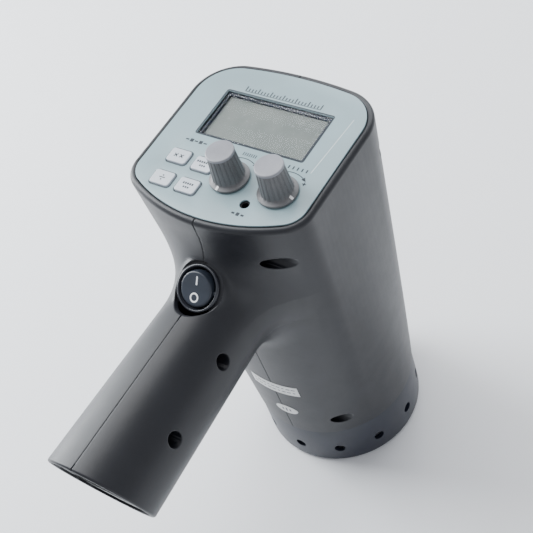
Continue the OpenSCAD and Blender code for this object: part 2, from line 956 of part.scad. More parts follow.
module transformer_core() {
    color([0.35, 0.35, 0.37])
        translate([13, pcb_y - 21, pcb_bottom + 22])
            difference() {
                translate([-17, 0, -14])
                    cube([34, 14, 28]);
                for (x = [-10, 10])
                    translate([x - 3.5, -1, -9])
                        cube([7, 16, 18]);
            }
}

module transformer_winding() {
    color([0.7, 0.4, 0.15])
        translate([13, pcb_y - 21, pcb_bottom + 22])
            difference() {
                translate([-12.5, -6, -8.8])
                    cube([25, 26.5, 17.6]);
                translate([-6.7, -0.2, -20])
                    cube([13.4, 14.4, 40]);
            }
}

module trigger_coil() {
    color([0.5, 0.12, 0.1])
        translate([14, pcb_y - 0.3, pcb_bottom + 58])
            rotate([90, 0, 0]) {
                cylinder(r = 7, h = 12);
                cylinder(r = 2.5, h = 15);
            }
}

// ---- wiring ----

// Live wire from the inlet to the switch, and neutral wire straight to the supply board
module mains_wires() {
    lane_z = handle_top - 38;
    live_y = switch_y + 12;
    tail = inlet_back + pin_tail + wire_r;
    handle_y = -handle_reach + 44;
    color([0.4, 0.25, 0.15]) {
        wire([
            end_point(7, -2 - inlet_drop, tail),
            [7, handle_y, lane_z + 4],
            [7, handle_y + 6, lane_z],
            [7, live_y - 24, lane_z],
            [3, live_y - 3, lane_z + 7],
            switch_point(0, -4, housing_d + terminal_l + wire_r)
        ], wire_r);
        wire([
            end_point(-7, -2 - inlet_drop, tail),
            [-7, handle_y, lane_z + 4],
            [-7, handle_y + 6, lane_z],
            [-7, live_y - 24, lane_z],
            [-7, live_y + 8, lane_z + 6],
            [-7, -20, lane_z + 18],
            [-7, 10, lane_z + 20],
            [-7, pcb_y + board_t / 2, pcb_top + wire_r]
        ], wire_r);
    }
}

// Switched live wire from the switch down to the supply board
module switch_wires() {
    color([0.15, 0.25, 0.55])
        wire([
            switch_point(0, 4, housing_d + terminal_l + wire_r),
            [0, switch_y + 28, pcb_top - 5],
            [2, -14, pcb_top + 7],
            [4, 8, pcb_top + 8],
            [4, pcb_y + board_t / 2, pcb_top + wire_r]
        ], wire_r);
}

module lamp_wires() {
    color([0.75, 0.7, 0.6])
        for (x = [-1, 1])
            wire([
                [x * tube_pitch / 2, 0, neck_z + 6.4],
                [x * tube_pitch / 2, 0, socket_top + 3],
                [x * 6, 12, socket_top + 7],
                [x * 6, pcb_y + 0.6, pcb_bottom - 1.2]
            ], thin_wire_r);
}

// Six wires from the supply board up to the main board
module panel_wires() {
    color([0.6, 0.6, 0.62])
        for (i = [0:5])
            let (x = 18 + i * 1.4)
            wire([
                [x, pcb_y + 0.6, pcb_top + 0.9],
                [x, pcb_y + 2, pcb_top + 12],
                [x, pcb_y + 3.5, board_z - 12],
                [x, pcb_y + 2, board_z - 0.7]
            ], thin_wire_r);
}

// ---- labels on the front of the head ----

module front_label(z, x) {
    label_t = 0.25;
    gap = 0.03;
    intersection() {
        difference() {
            head_loft(-label_t - gap, shell_top);
            head_loft(-gap, shell_top);
        }
        translate([x, -35, z])
            rotate([90, 0, 0])
                linear_extrude(40)
                    children();
    }
}

module rating_label() {
    color([0.9, 0.9, 0.88])
        front_label(78.5, 0.3)
            square([29.5, 9], center = true);
}

module check_label() {
    color([0.92, 0.92, 0.9])
        front_label(55, 2)
            oval(14, 8);
}

left_shell();
right_shell();
shell_screws();
front_ring();
lens_gasket();
front_lens();
lens_retainer();
reflector();
flash_tube();
tube_electrodes();
lamp_socket();
panel_plate();
panel_overlay();
lcd_window();
lcd_frame();
lcd_module();
main_board();
board_screws();
key_switches();
double_key();
halve_key();
mode_key();
range_key();
fine_knob();
fine_knob_cap();
fine_shaft();
fine_pot();
coarse_knob();
coarse_knob_cap();
coarse_shaft();
coarse_pot();
pot_nuts();
ext_jack();
switch_body();
switch_terminals();
switch_rocker();
end_cap();
mains_inlet();
inlet_pins();
power_board();
storage_capacitors();
transformer_core();
transformer_winding();
trigger_coil();
mains_wires();
switch_wires();
lamp_wires();
panel_wires();
rating_label();
check_label();
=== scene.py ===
"""Visual model of a handheld flash stroboscope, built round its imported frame.

Every length is in metres in the frame's own axes: +Z from the lens ring to the panel,
-Y towards the end of the handle, and the seam between the two shells on X = 0.
"""

import math

import bmesh
import bpy
import numpy as np
from bpy.props import FloatProperty, FloatVectorProperty, IntProperty, PointerProperty
from mathutils import Matrix, Vector


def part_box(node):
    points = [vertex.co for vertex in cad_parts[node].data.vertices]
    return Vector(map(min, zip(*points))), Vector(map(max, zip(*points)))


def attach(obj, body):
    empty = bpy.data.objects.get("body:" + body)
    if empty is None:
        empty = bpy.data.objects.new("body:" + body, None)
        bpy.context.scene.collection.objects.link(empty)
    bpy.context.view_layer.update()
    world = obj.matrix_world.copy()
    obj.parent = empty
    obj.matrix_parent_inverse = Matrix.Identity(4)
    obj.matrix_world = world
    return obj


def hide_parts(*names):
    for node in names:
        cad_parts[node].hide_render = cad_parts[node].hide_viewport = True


bl_info = {
    "name": "Flash stroboscope",
    "version": (1, 0, 0),
    "blender": (4, 5, 0),
    "location": "View3D > Sidebar > Stroboscope",
    "description": "Builds the shells, panel, knobs, switch and lamp of a handheld stroboscope",
    "category": "Object",
}

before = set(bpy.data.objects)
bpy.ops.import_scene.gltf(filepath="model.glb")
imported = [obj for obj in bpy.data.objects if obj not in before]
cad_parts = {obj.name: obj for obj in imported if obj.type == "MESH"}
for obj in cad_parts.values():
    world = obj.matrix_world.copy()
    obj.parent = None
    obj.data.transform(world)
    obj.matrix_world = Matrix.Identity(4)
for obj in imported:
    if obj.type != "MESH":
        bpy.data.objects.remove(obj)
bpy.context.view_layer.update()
MM = 0.001
# The Boolean solver did not finish with the head's outline exactly in place, for a reason that
# was not found. The outline is moved in by one hair, and the pocket is widened by the other.
OUTLINE_HAIR = 0.01 * MM
POCKET_HAIR = 0.04 * MM
# The handle's field stops this far in front of the lamp axis, inside the head.
GRIP_STOP = 15 * MM


def span(node, axis):
    """Width of a CAD node along one axis."""
    low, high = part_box(node)
    return high[axis] - low[axis]


def middle(node):
    """Centre of a CAD node's box."""
    low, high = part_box(node)
    return (Vector(low) + Vector(high)) / 2


# ---------------------------------------------------------------- sizes and colours

def length(name, description, default):
    return FloatProperty(name=name, description=description, default=default,
                         subtype="DISTANCE", unit="LENGTH", precision=5)


def turn(name, description, degrees):
    return FloatProperty(name=name, description=description, default=math.radians(degrees),
                         subtype="ANGLE", unit="ROTATION")


def count(name, description, default):
    return IntProperty(name=name, description=description, default=default, min=1)


def share(name, description, default):
    return FloatProperty(name=name, description=description, default=default, min=0.0)


def colour(name, description, red, green, blue):
    return FloatVectorProperty(name=name, description=description, default=(red, green, blue),
                               subtype="COLOR", size=3, min=0.0, max=1.0)


class ShellSettings(bpy.types.PropertyGroup):
    """Shape of the two housing shells."""
    top: length("Top", "Height of the rim round the panel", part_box("left_shell")[1][2])
    foot: length("Foot", "Height of the shells' lower edge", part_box("left_shell")[0][2])
    foot_radius: length("Foot radius", "Radius of the head at its lower edge", 46.6 * MM)
    width: length("Head width", "Width of the head at the rim", 2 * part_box("right_shell")[1][0])
    front: length("Front", "Distance from the lamp axis to the front of the rim", 53 * MM)
    rear: length("Rear", "Distance from the lamp axis to the rear of the rim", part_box("left_shell")[1][1])
    front_bow: length("Front bow", "Radius of the bowed front edge", 91 * MM)
    rear_bow: length("Rear bow", "Radius of the bowed rear edge", 224 * MM)
    front_corner: length("Front corner", "Radius of the front corners", 15 * MM)
    rear_corner: length("Rear corner", "Radius of the rear corners", 23.5 * MM)
    fullness: share("Fullness", "How soon the round foot takes the panel's outline", 0.92)
    rim_round: length("Rim rounding", "Radius of the rim's outer edge", 2.6 * MM)
    rim_width: length("Rim width", "Width of the rim round the panel", 3.2 * MM)
    pocket_floor: length("Pocket floor", "Height of the ledge under the panel", 220.2 * MM)
    wall: length("Wall", "Thickness of the shells", 2.5 * MM)
    seam_gap: length("Seam gap", "Gap between the shells along the seam", 0.14 * MM)
    seam_round: length("Seam rounding", "Radius of the shells' edges along the seam", 0.45 * MM)
    voxel: length("Mesh size", "Spacing of the shells' surface mesh", 1.25 * MM)
    tone: colour("Shell colour", "Colour of the moulded shells", 0.0085, 0.0095, 0.0135)


class HandleSettings(bpy.types.PropertyGroup):
    """Shape of the pistol handle."""
    top: length("Top line", "Height of the handle's top line", 188 * MM)
    reach: length("Reach", "Distance from the lamp axis to the top of the end face", 168 * MM)
    root: length("Root", "Distance from the lamp axis to the handle's root", 60 * MM)
    root_width: length("Root width", "Width at the root", 47 * MM)
    root_height: length("Root height", "Depth at the root", 52.5 * MM)
    end_width: length("End width", "Width at the end", 54 * MM)
    end_height: length("End height", "Depth at the end", 57 * MM)
    lean: turn("End lean", "Lean of the end face", 12)
    lip_round: length("Lip rounding", "Radius of the end's outer edge", 1.4 * MM)
    blend_top: length("Upper blend", "Size of the blend into the head above the handle", 26 * MM)
    blend_under: length("Lower blend", "Size of the blend into the head under the handle", 17 * MM)
    cap_recess: length("Cap recess", "How deep the end cap sits in the handle", 1.2 * MM)
    well_width: length("Well width", "Width of the recess in the end cap", 43 * MM)
    well_height: length("Well height", "Height of the recess in the end cap", 27 * MM)
    well_depth: length("Well depth", "Depth of the recess in the end cap", 5 * MM)
    well_drop: length("Well drop", "How far the recess lies below the cap's middle", 3 * MM)
    # The end cap's light grey is a painted highlight on its flat face.
    cap_tone_with_painted_highlight: colour("Cap colour with painted highlight", "Colour of the end cap", 0.085, 0.088, 0.090)


class SwitchSettings(bpy.types.PropertyGroup):
    """Place and shape of the round rocker switch."""
    y: length("Y", "Y of the centre of the switch's seat", -64.7 * MM)
    z: length("Z", "Z of the centre of the switch's seat", 188.8 * MM)
    lean: turn("Lean", "Lean of the switch towards the handle", 37)
    bezel: length("Bezel", "Outer diameter of the bezel", 23 * MM)
    bezel_height: length("Bezel height", "Height of the bezel over its seat", 2 * MM)
    ball: length("Rocker radius", "Radius of the rocker round its pivot", 8.9 * MM)
    rocker_top: length("Rocker top", "Height of the rocker's edge over its pivot", 3.4 * MM)
    valley: turn("Valley", "Slope of each half of the rocker's face", 7)
    swing: turn("Swing", "Swing of the rocker from off to on", 20)
    pocket_gap: length("Pocket gap", "Width of the gap round the bezel", 1.5 * MM)
    tone: colour("Rocker colour", "Colour of the rocker", 0.022, 0.028, 0.040)


class PanelSettings(bpy.types.PropertyGroup):
    """Sizes and colours of the control panel."""
    face: length("Face", "Height of the printed face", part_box("panel_overlay")[1][2])
    film: length("Film", "Thickness of the printed overlay", span("panel_overlay", 2))
    window_width: length("Window width", "Width of the display window", 59.9 * MM)
    window_depth: length("Window depth", "Depth of the display window", 29.2 * MM)
    window_y: length("Window Y", "Y of the window's middle", middle("lcd_window").y)
    key_width: length("Key width", "Width of a key cap", 11.1 * MM)
    key_depth: length("Key depth", "Depth of a key cap", 8.1 * MM)
    key_rise: length("Key rise", "Height of a key over the panel", 1.0 * MM)
    print_height: length("Print height", "Thickness of the printed marks", 0.05 * MM)
    film_tone: colour("Film colour", "Colour of the printed film", 0.255, 0.355, 0.385)
    ink_tone: colour("Ink colour", "Colour of the printed marks", 0.006, 0.013, 0.022)
    key_tone: colour("Key colour", "Colour of the key caps", 0.52, 0.56, 0.61)


class KnobSettings(bpy.types.PropertyGroup):
    """Sizes and colours of the two rate knobs."""
    skirt: length("Skirt", "Diameter of the skirt", span("coarse_knob", 0))
    crown: length("Crown", "Diameter at the top", 13.7 * MM)
    rise: length("Rise", "Height of the crown over the panel", 18.6 * MM)
    flutes: count("Flutes", "Number of flutes round the grip", 20)
    flute_depth: length("Flute depth", "Depth of a flute", 0.42 * MM)
    fine_pointer: turn("Fine pointer", "Direction of the fine knob's pointer", -97)
    coarse_pointer: turn("Coarse pointer", "Direction of the coarse knob's pointer", -12)
    grip_tone: colour("Grip colour", "Colour of the fluted grip", 0.120, 0.120, 0.125)
    crown_tone: colour("Crown colour", "Colour of the crown", 0.235, 0.24, 0.265)


class LampSettings(bpy.types.PropertyGroup):
    """Sizes and colours of the lens ring and the lamp."""
    radius: length("Ring radius", "Outer radius of the lens ring", 46.2 * MM)
    height: length("Ring height", "Visible height of the lens ring", 33 * MM)
    mouth: length("Mouth radius", "Radius of the open mouth", 43.5 * MM)
    mouth_depth: length("Mouth depth", "Depth of the open mouth", 17 * MM)
    edge_round: length("Edge rounding", "Radius of the ring's lower edge", 2.4 * MM)
    vents: count("Vents", "Number of vent holes", 12)
    vent: length("Vent diameter", "Diameter of a vent hole", 6.2 * MM)
    vent_z: length("Vent height", "Height of the vent holes", 13.5 * MM)
    tone: colour("Ring colour", "Colour of the lens ring", 0.012, 0.015, 0.026)


class StageSettings(bpy.types.PropertyGroup):
    """Camera, floor and lights."""
    camera_x: length("Camera X", "X of the camera", 0.28901)
    camera_y: length("Camera Y", "Y of the camera", -0.27709)
    camera_z: length("Camera Z", "Z of the camera", 0.59861)
    target_x: length("Target X", "X of the point that the camera looks at", -0.00567)
    target_y: length("Target Y", "Y of the point that the camera looks at", -0.01583)
    target_z: length("Target Z", "Z of the point that the camera looks at", 0.14327)
    roll: turn("Roll", "Roll of the camera", -21.534)
    lens: share("Lens", "Focal length on a 36 mm wide sensor", 79.024)
    floor_tone: colour("Floor colour", "Colour of the floor", 0.90, 0.91, 0.93)


GROUPS = {
    "strobe_shell": ShellSettings,
    "strobe_handle": HandleSettings,
    "strobe_switch": SwitchSettings,
    "strobe_panel": PanelSettings,
    "strobe_knobs": KnobSettings,
    "strobe_lamp": LampSettings,
    "strobe_stage": StageSettings,
}


# ---------------------------------------------------------------- materials

class Value:
    """A shader socket that can be used in Python expressions."""

    def __init__(self, graph, socket):
        self.graph = graph
        self.socket = socket

    def maths(self, operation, first, second):
        return self.graph.node("ShaderNodeMath", {"operation": operation}, {0: first, 1: second})

    def __add__(self, other):
        return self.maths("ADD", self, other)

    def __radd__(self, other):
        return self.maths("ADD", other, self)

    def __sub__(self, other):
        return self.maths("SUBTRACT", self, other)

    def __rsub__(self, other):
        return self.maths("SUBTRACT", other, self)

    def __mul__(self, other):
        return self.maths("MULTIPLY", self, other)

    def __rmul__(self, other):
        return self.maths("MULTIPLY", other, self)

    def __truediv__(self, other):
        return self.maths("DIVIDE", self, other)

    def __gt__(self, other):
        return self.maths("GREATER_THAN", self, other)

    def __lt__(self, other):
        return self.maths("LESS_THAN", self, other)

    def wave(self):
        return self.maths("SINE", self, 0.0)

    def size(self):
        return self.maths("ABSOLUTE", self, 0.0)

    def power(self, exponent):
        return self.maths("POWER", self, exponent)

    def most(self, other):
        return self.maths("MAXIMUM", self, other)

    def within(self, low, high):
        """0 below low, 1 above high, and a smooth step between."""
        return self.graph.node("ShaderNodeMapRange", {"interpolation_type": "SMOOTHSTEP"},
                               {"Value": self, "From Min": low, "From Max": high})


class Graph:
    """A material's node tree, and short ways to add to it."""

    def __init__(self, name):
        self.material = bpy.data.materials.new(name)
        self.material.use_nodes = True
        self.tree = self.material.node_tree
        self.tree.nodes.clear()
        self.place = self.node("ShaderNodeTexCoord", out="Object")

    def node(self, kind, settings=None, sockets=None, out=0):
        """A node of one kind; out picks the output, or a tuple of them."""
        made = self.tree.nodes.new(kind)
        for key, value in (settings or {}).items():
            if key == "stops":
                self.set_stops(made.color_ramp, value)
            else:
                setattr(made, key, value)
        for key, value in (sockets or {}).items():
            if isinstance(value, Value):
                self.tree.links.new(value.socket, made.inputs[key])
            else:
                made.inputs[key].default_value = value
        if isinstance(out, tuple):
            return [Value(self, made.outputs[i]) for i in out]
        return Value(self, made.outputs[out]) if made.outputs else made

    @staticmethod
    def set_stops(ramp, stops):
        while len(ramp.elements) < len(stops):
            ramp.elements.new(0.5)
        for element, (position, tone) in zip(ramp.elements, stops):
            element.position = position
            element.color = (*tone, 1.0)

    def noise(self, grain, detail=3.0, roughness=0.5, stretch=(1, 1, 1)):
        """Noise whose blobs are about grain metres wide."""
        place = self.scaled([1 / (grain * s) for s in stretch])
        return self.node("ShaderNodeTexNoise", {}, {
            "Vector": place, "Scale": 1.0, "Detail": detail, "Roughness": roughness}, "Fac")

    def scaled(self, scale, shift=(0, 0, 0)):
        return self.node("ShaderNodeMapping", {}, {
            "Vector": self.place, "Location": shift, "Scale": scale})

    def axes(self):
        """The place's X, Y and Z as three values."""
        return self.node("ShaderNodeSeparateXYZ", {}, {0: self.place}, (0, 1, 2))

    def mix(self, factor, first, second):
        """Colour between first and second."""
        def rgba(tone):
            return tone if isinstance(tone, Value) else (*tone, 1.0)
        return self.node("ShaderNodeMix", {"data_type": "RGBA"},
                         {0: factor, 6: rgba(first), 7: rgba(second)}, 2)

    def bump(self, height, depth, under=None):
        """Normal bent by a height between 0 and 1 that stands for depth metres."""
        sockets = {"Height": height, "Distance": depth, "Strength": 1.0}
        if under is not None:
            sockets["Normal"] = under
        return self.node("ShaderNodeBump", {}, sockets)

    def finish(self, **sockets):
        """Ends the tree in a Principled shader with the given sockets, and returns the material."""
        named = {key.replace("_", " "): value for key, value in sockets.items()}
        for key in ("Base Color", "Emission Color"):
            if key in named and not isinstance(named[key], Value):
                named[key] = (*named[key], 1.0)
        shader = self.node("ShaderNodeBsdfPrincipled", {}, named)
        self.node("ShaderNodeOutputMaterial", {}, {"Surface": shader})
        return self.material


def lighter(tone, factor):
    return tuple(min(1.0, part * factor) for part in tone)


def moulded(name, tone, roughness=0.42, grain=0.45 * MM, depth=0.02 * MM, coat=0.0, patch=0.12):
    """Moulded plastic: fine spark-eroded grain, faint patches of colour and gloss."""
    graph = Graph(name)
    patches = graph.noise(22 * MM, 3.0, 0.6)
    fine = graph.noise(grain, 2.0, 0.6)
    base = graph.mix(patches.within(0.3, 0.7), lighter(tone, 1 - patch), lighter(tone, 1 + patch))
    handled = graph.noise(9 * MM, 4.0, 0.65)
    return graph.finish(
        Base_Color=graph.mix(fine.within(0.45, 0.75) * 0.35, base, lighter(tone, 1.5)),
        Roughness=roughness - 0.06 + 0.12 * handled, Coat_Weight=coat, Coat_Roughness=0.25,
        Normal=graph.bump(fine, depth))


def metal(name, tone, roughness=0.3, stretch=(8, 1, 1), depth=0.01 * MM):
    """Plated or turned metal with fine drawn lines and dull spots."""
    graph = Graph(name)
    lines = graph.noise(0.35 * MM, 2.0, 0.5, stretch)
    spots = graph.noise(3 * MM, 4.0, 0.6)
    return graph.finish(
        Base_Color=graph.mix(spots.within(0.35, 0.75), tone, lighter(tone, 0.72)), Metallic=1.0,
        Roughness=roughness - 0.08 + 0.2 * spots, Normal=graph.bump(lines, depth))


def clear(name, tone, roughness, haze=0.05, index=1.49):
    """Clear acrylic or glass with faint haze and hairline scratches."""
    graph = Graph(name)
    haze_spots = graph.noise(6 * MM, 4.0, 0.6)
    scratches = graph.noise(0.3 * MM, 1.0, 0.5, (14, 1, 1))
    return graph.finish(
        Base_Color=graph.mix(haze_spots, tone, lighter(tone, 0.94)),
        Roughness=roughness + haze * haze_spots, IOR=index, Transmission_Weight=1.0,
        Normal=graph.bump(scratches.within(0.62, 0.75), 0.0006 * MM))


def rubber(name, tone, roughness=0.62):
    """Soft insulation or foam with a mealy surface."""
    graph = Graph(name)
    mealy = graph.noise(0.8 * MM, 4.0, 0.7)
    return graph.finish(
        Base_Color=graph.mix(mealy, lighter(tone, 0.75), lighter(tone, 1.3)),
        Roughness=roughness, Normal=graph.bump(mealy, 0.05 * MM))


def circuit_board(name):
    """Green solder mask over copper tracks, with rows of tinned pads."""
    graph = Graph(name)
    tracks = graph.node("ShaderNodeTexBrick", {"offset": 0.37, "squash": 0.6}, {
        "Vector": graph.scaled((1, 1, 1)), "Scale": 180.0, "Mortar Size": 0.05,
        "Color1": (0, 0, 0, 1), "Color2": (0, 0, 0, 1), "Mortar": (1, 1, 1, 1)}, "Fac")
    pads = graph.node("ShaderNodeTexVoronoi", {"feature": "F1"}, {
        "Vector": graph.place, "Scale": 390.0, "Randomness": 0.0}, "Distance")
    pad = 1 - pads.within(0.20, 0.26)
    mask = graph.mix(tracks, (0.012, 0.10, 0.045), (0.03, 0.20, 0.09))
    return graph.finish(
        Base_Color=graph.mix(pad * 0.8, mask, (0.62, 0.62, 0.60)), Roughness=0.32 + 0.2 * pad,
        Metallic=pad * 0.8, Normal=graph.bump(tracks + pad, 0.04 * MM))


def striped(name, first, second, axis, pitch, roughness=0.4, metallic=0.0, share_first=0.5):
    """Stripes across one axis: laminations, tape turns or a printed sleeve."""
    graph = Graph(name)
    place = graph.axes()[axis]
    stripe = (place * (math.tau / pitch)).wave().within(share_first - 0.6, share_first + 0.1)
    dust = graph.noise(2 * MM, 3.0, 0.6)
    return graph.finish(
        Base_Color=graph.mix(stripe, lighter(first, 0.9), second), Metallic=metallic,
        Roughness=roughness - 0.05 + 0.1 * dust, Normal=graph.bump(stripe + 0.3 * dust, 0.08 * MM))


def printed_film(name, tone):
    """Matt printed polycarbonate film with a velvet grain and faint wear."""
    graph = Graph(name)
    velvet = graph.noise(0.18 * MM, 2.0, 0.5)
    cloud = graph.noise(30 * MM, 2.0, 0.5)
    rubbed = graph.noise(4 * MM, 5.0, 0.7)
    base = graph.mix(cloud.within(0.3, 0.7), lighter(tone, 0.95), lighter(tone, 1.05))
    return graph.finish(
        Base_Color=graph.mix(rubbed.within(0.62, 0.8) * 0.25, base, lighter(tone, 1.25)),
        Roughness=0.34 + 0.12 * rubbed, Coat_Weight=0.25, Coat_Roughness=0.18,
        Normal=graph.bump(velvet, 0.006 * MM))


def display_glass(name):
    """Unlit reflective display: grey-olive ground with a fine cell grid and pale specks of dust."""
    graph = Graph(name)
    x, y, _ = graph.axes()
    cells = ((x * (math.tau / (0.55 * MM))).wave() * (y * (math.tau / (0.55 * MM))).wave()).size()
    cloud = graph.noise(12 * MM, 3.0, 0.5)
    specks = graph.noise(1.6 * MM, 2.0, 0.4).within(0.64, 0.72)
    ground = graph.mix(cloud.within(0.3, 0.7), (0.225, 0.245, 0.235), (0.275, 0.290, 0.275))
    grid = graph.mix(cells * 0.10, ground, (0.14, 0.15, 0.145))
    return graph.finish(
        Base_Color=graph.mix(specks * 0.5, grid, (0.46, 0.47, 0.46)), Roughness=0.55 + 0.1 * cloud,
        Coat_Weight=0.05, Coat_Roughness=0.3, Normal=graph.bump(cells, 0.002 * MM))


def mirror_dish(name):
    """Vacuum-plated reflector with faint rings left by turning."""
    graph = Graph(name)
    x, y, _ = graph.axes()
    radius = (x * x + y * y).power(0.5)
    rings = (radius * (math.tau / (1.6 * MM))).wave()
    haze = graph.noise(8 * MM, 3.0, 0.6)
    return graph.finish(
        Base_Color=graph.mix(haze, (0.80, 0.81, 0.83), (0.90, 0.90, 0.91)), Metallic=1.0,
        Roughness=0.06 + 0.1 * haze, Normal=graph.bump(rings, 0.02 * MM))


def paper_label(name):
    """Matt vinyl label, slightly yellowed and dusty in faint patches."""
    graph = Graph(name)
    fibres = graph.noise(0.5 * MM, 3.0, 0.6)
    age = graph.noise(7 * MM, 3.0, 0.6)
    return graph.finish(
        Base_Color=graph.mix(age, (0.70, 0.71, 0.72), (0.60, 0.60, 0.58)),
        Roughness=0.5 + 0.1 * fibres, Normal=graph.bump(fibres, 0.01 * MM))


def ceramic(name):
    """Unglazed steatite with a chalky surface."""
    graph = Graph(name)
    chalk = graph.noise(1.2 * MM, 4.0, 0.7)
    return graph.finish(
        Base_Color=graph.mix(chalk, (0.70, 0.66, 0.56), (0.80, 0.77, 0.69)),
        Roughness=0.6 + 0.15 * chalk, Normal=graph.bump(chalk, 0.04 * MM))


def floor_paint(name, tone):
    """Pale matt floor with a barely visible mottle."""
    graph = Graph(name)
    mottle = graph.noise(60 * MM, 3.0, 0.5)
    return graph.finish(
        Base_Color=graph.mix(mottle, lighter(tone, 0.985), lighter(tone, 1.01)), Roughness=0.85)


MATERIALS = {}


def finish_named(name, recipe, *values, **options):
    """The material called name, made by its recipe the first time it is asked for."""
    if name not in MATERIALS:
        MATERIALS[name] = recipe(name, *values, **options)
    return MATERIALS[name]


# ---------------------------------------------------------------- mesh tools

def add_object(name, mesh):
    made = bpy.data.objects.new(name, mesh)
    bpy.context.scene.collection.objects.link(made)
    return made


def mesh_object(name, shape):
    """Object from a bmesh, which is used up."""
    bmesh.ops.recalc_face_normals(shape, faces=shape.faces)
    mesh = bpy.data.meshes.new(name)
    shape.to_mesh(mesh)
    shape.free()
    return add_object(name, mesh)


def remove(*objects):
    for thing in objects:
        mesh = thing.data
        bpy.data.objects.remove(thing)
        bpy.data.meshes.remove(mesh)


def settle_modifiers(thing):
    """Applies every modifier to the object's own mesh."""
    graph = bpy.context.evaluated_depsgraph_get()
    applied = bpy.data.meshes.new_from_object(thing.evaluated_get(graph), depsgraph=graph)
    old = thing.data
    thing.modifiers.clear()
    thing.data = applied
    bpy.data.meshes.remove(old)


def combine(thing, other, operation="DIFFERENCE"):
    """Cuts other from thing, joins it on, or keeps what they share. other is used up."""
    change = thing.modifiers.new("combine", "BOOLEAN")
    change.operation = operation
    change.solver = "MANIFOLD"
    change.object = other
    settle_modifiers(thing)
    remove(other)
    if not thing.data.polygons:
        raise RuntimeError(f"{thing.name}: nothing is left after {operation}")


def shade(thing, angle=35):
    """Smooth shading, with sharp edges kept where faces meet at more than angle degrees."""
    shape = bmesh.new()
    shape.from_mesh(thing.data)
    limit = math.radians(angle)
    for face in shape.faces:
        face.smooth = True
    for edge in shape.edges:
        edge.smooth = len(edge.link_faces) == 2 and edge.calc_face_angle(math.pi) < limit
    shape.to_mesh(thing.data)
    shape.free()


def piece(thing, material, body, *nodes, slot=None):
    """Gives a finished object its material and its place in the frame."""
    thing.data.materials.clear()
    thing.data.materials.append(material)
    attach(thing, body)
    if nodes:
        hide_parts(*nodes)
    return thing


def prism(points, low, high):
    """Straight prism over an outline of (x, y) points."""
    shape = bmesh.new()
    bottom = [shape.verts.new((x, y, low)) for x, y in points]
    top = [shape.verts.new((x, y, high)) for x, y in points]
    shape.faces.new(bottom[::-1])
    shape.faces.new(top)
    for i in range(len(points)):
        j = (i + 1) % len(points)
        shape.faces.new((bottom[i], bottom[j], top[j], top[i]))
    return shape


def turned(profile, steps, closed=True):
    """Body turned round Z from (radius, z) points; a closed profile makes a ring."""
    shape = bmesh.new()
    rings = []
    for radius, z in profile:
        if radius < 1e-7:
            rings.append([shape.verts.new((0, 0, z))] * steps)
        else:
            rings.append([shape.verts.new((radius * math.cos(math.tau * k / steps),
                                           radius * math.sin(math.tau * k / steps), z))
                          for k in range(steps)])
    pairs = list(zip(rings, rings[1:]))
    if closed:
        pairs.append((rings[-1], rings[0]))
    for low, high in pairs:
        for k in range(steps):
            n = (k + 1) % steps
            corners = [low[k], low[n], high[n], high[k]]
            unique = [v for i, v in enumerate(corners) if v not in corners[:i]]
            if len(unique) > 2:
                shape.faces.new(unique)
    return shape


def rod(radius, low, high, steps=48):
    """Plain cylinder along Z, used as a cutter or as a joined boss."""
    return prism([(radius * math.cos(math.tau * k / steps), radius * math.sin(math.tau * k / steps))
                  for k in range(steps)], low, high)


def moved(shape, matrix):
    bmesh.ops.transform(shape, matrix=matrix, verts=shape.verts)
    return shape


def arc(centre, radius, start, end, steps):
    """Points on an arc, angles in radians."""
    return [(centre[0] + radius * math.cos(start + (end - start) * i / steps),
             centre[1] + radius * math.sin(start + (end - start) * i / steps))
            for i in range(steps + 1)]


def rounded_rectangle(width, height, radius, x=0.0, y=0.0, steps=6):
    right = width / 2 - radius
    up = height / 2 - radius
    quarter = math.pi / 2
    points = []
    for i, (sx, sy) in enumerate(((1, 1), (-1, 1), (-1, -1), (1, -1))):
        points += arc((x + sx * right, y + sy * up), radius, i * quarter, (i + 1) * quarter, steps)
    return points


def oval(width, height, steps=96):
    return [(width / 2 * math.cos(math.tau * k / steps), height / 2 * math.sin(math.tau * k / steps))
            for k in range(steps)]


def panel_outline(inset, fine=3):
    """The panel's outline inside the rim by inset, bowed in front and behind."""
    s = bpy.context.scene.strobe_shell
    half = s.width / 2
    front_x = half - s.front_corner
    rear_x = half - s.rear_corner
    front_mid = s.front_bow - s.front
    rear_mid = s.rear - s.rear_bow
    front_turn = math.asin(front_x / (s.front_bow - s.front_corner))
    rear_turn = math.asin(rear_x / (s.rear_bow - s.rear_corner))
    front_y = front_mid - (s.front_bow - s.front_corner) * math.cos(front_turn)
    rear_y = rear_mid + (s.rear_bow - s.rear_corner) * math.cos(rear_turn)
    down, up = -math.pi / 2, math.pi / 2
    runs = (
        arc((0, front_mid), s.front_bow - inset, down - front_turn, down + front_turn, 12 * fine),
        arc((front_x, front_y), s.front_corner - inset, down + front_turn, 0, 6 * fine),
        arc((rear_x, rear_y), s.rear_corner - inset, 0, up - rear_turn, 6 * fine),
        arc((0, rear_mid), s.rear_bow - inset, up - rear_turn, up + rear_turn, 10 * fine),
        arc((-rear_x, rear_y), s.rear_corner - inset, up + rear_turn, math.pi, 6 * fine),
        arc((-front_x, front_y), s.front_corner - inset, math.pi, 3 * up - front_turn, 6 * fine),
    )
    points = []
    for run in runs:
        points += run[1:]
    return points


def frame_at(origin, lean):
    """Local frame turned about X by lean: its +Z stands out of a leaning face."""
    return Matrix.Translation(origin) @ Matrix.Rotation(lean, 4, "X")


def switch_frame():
    s = bpy.context.scene.strobe_switch
    return frame_at((0, s.y, s.z), s.lean)


def handle_end_frame():
    """Frame of the handle's end face: +Z out of the face, +Y up it, origin at its middle."""
    s = bpy.context.scene.strobe_handle
    half = s.end_height / math.cos(s.lean) / 2
    return frame_at((0, -s.reach, s.top), math.pi / 2 + s.lean) @ Matrix.Translation((0, -half, 0))


# ---------------------------------------------------------------- the shells' surface

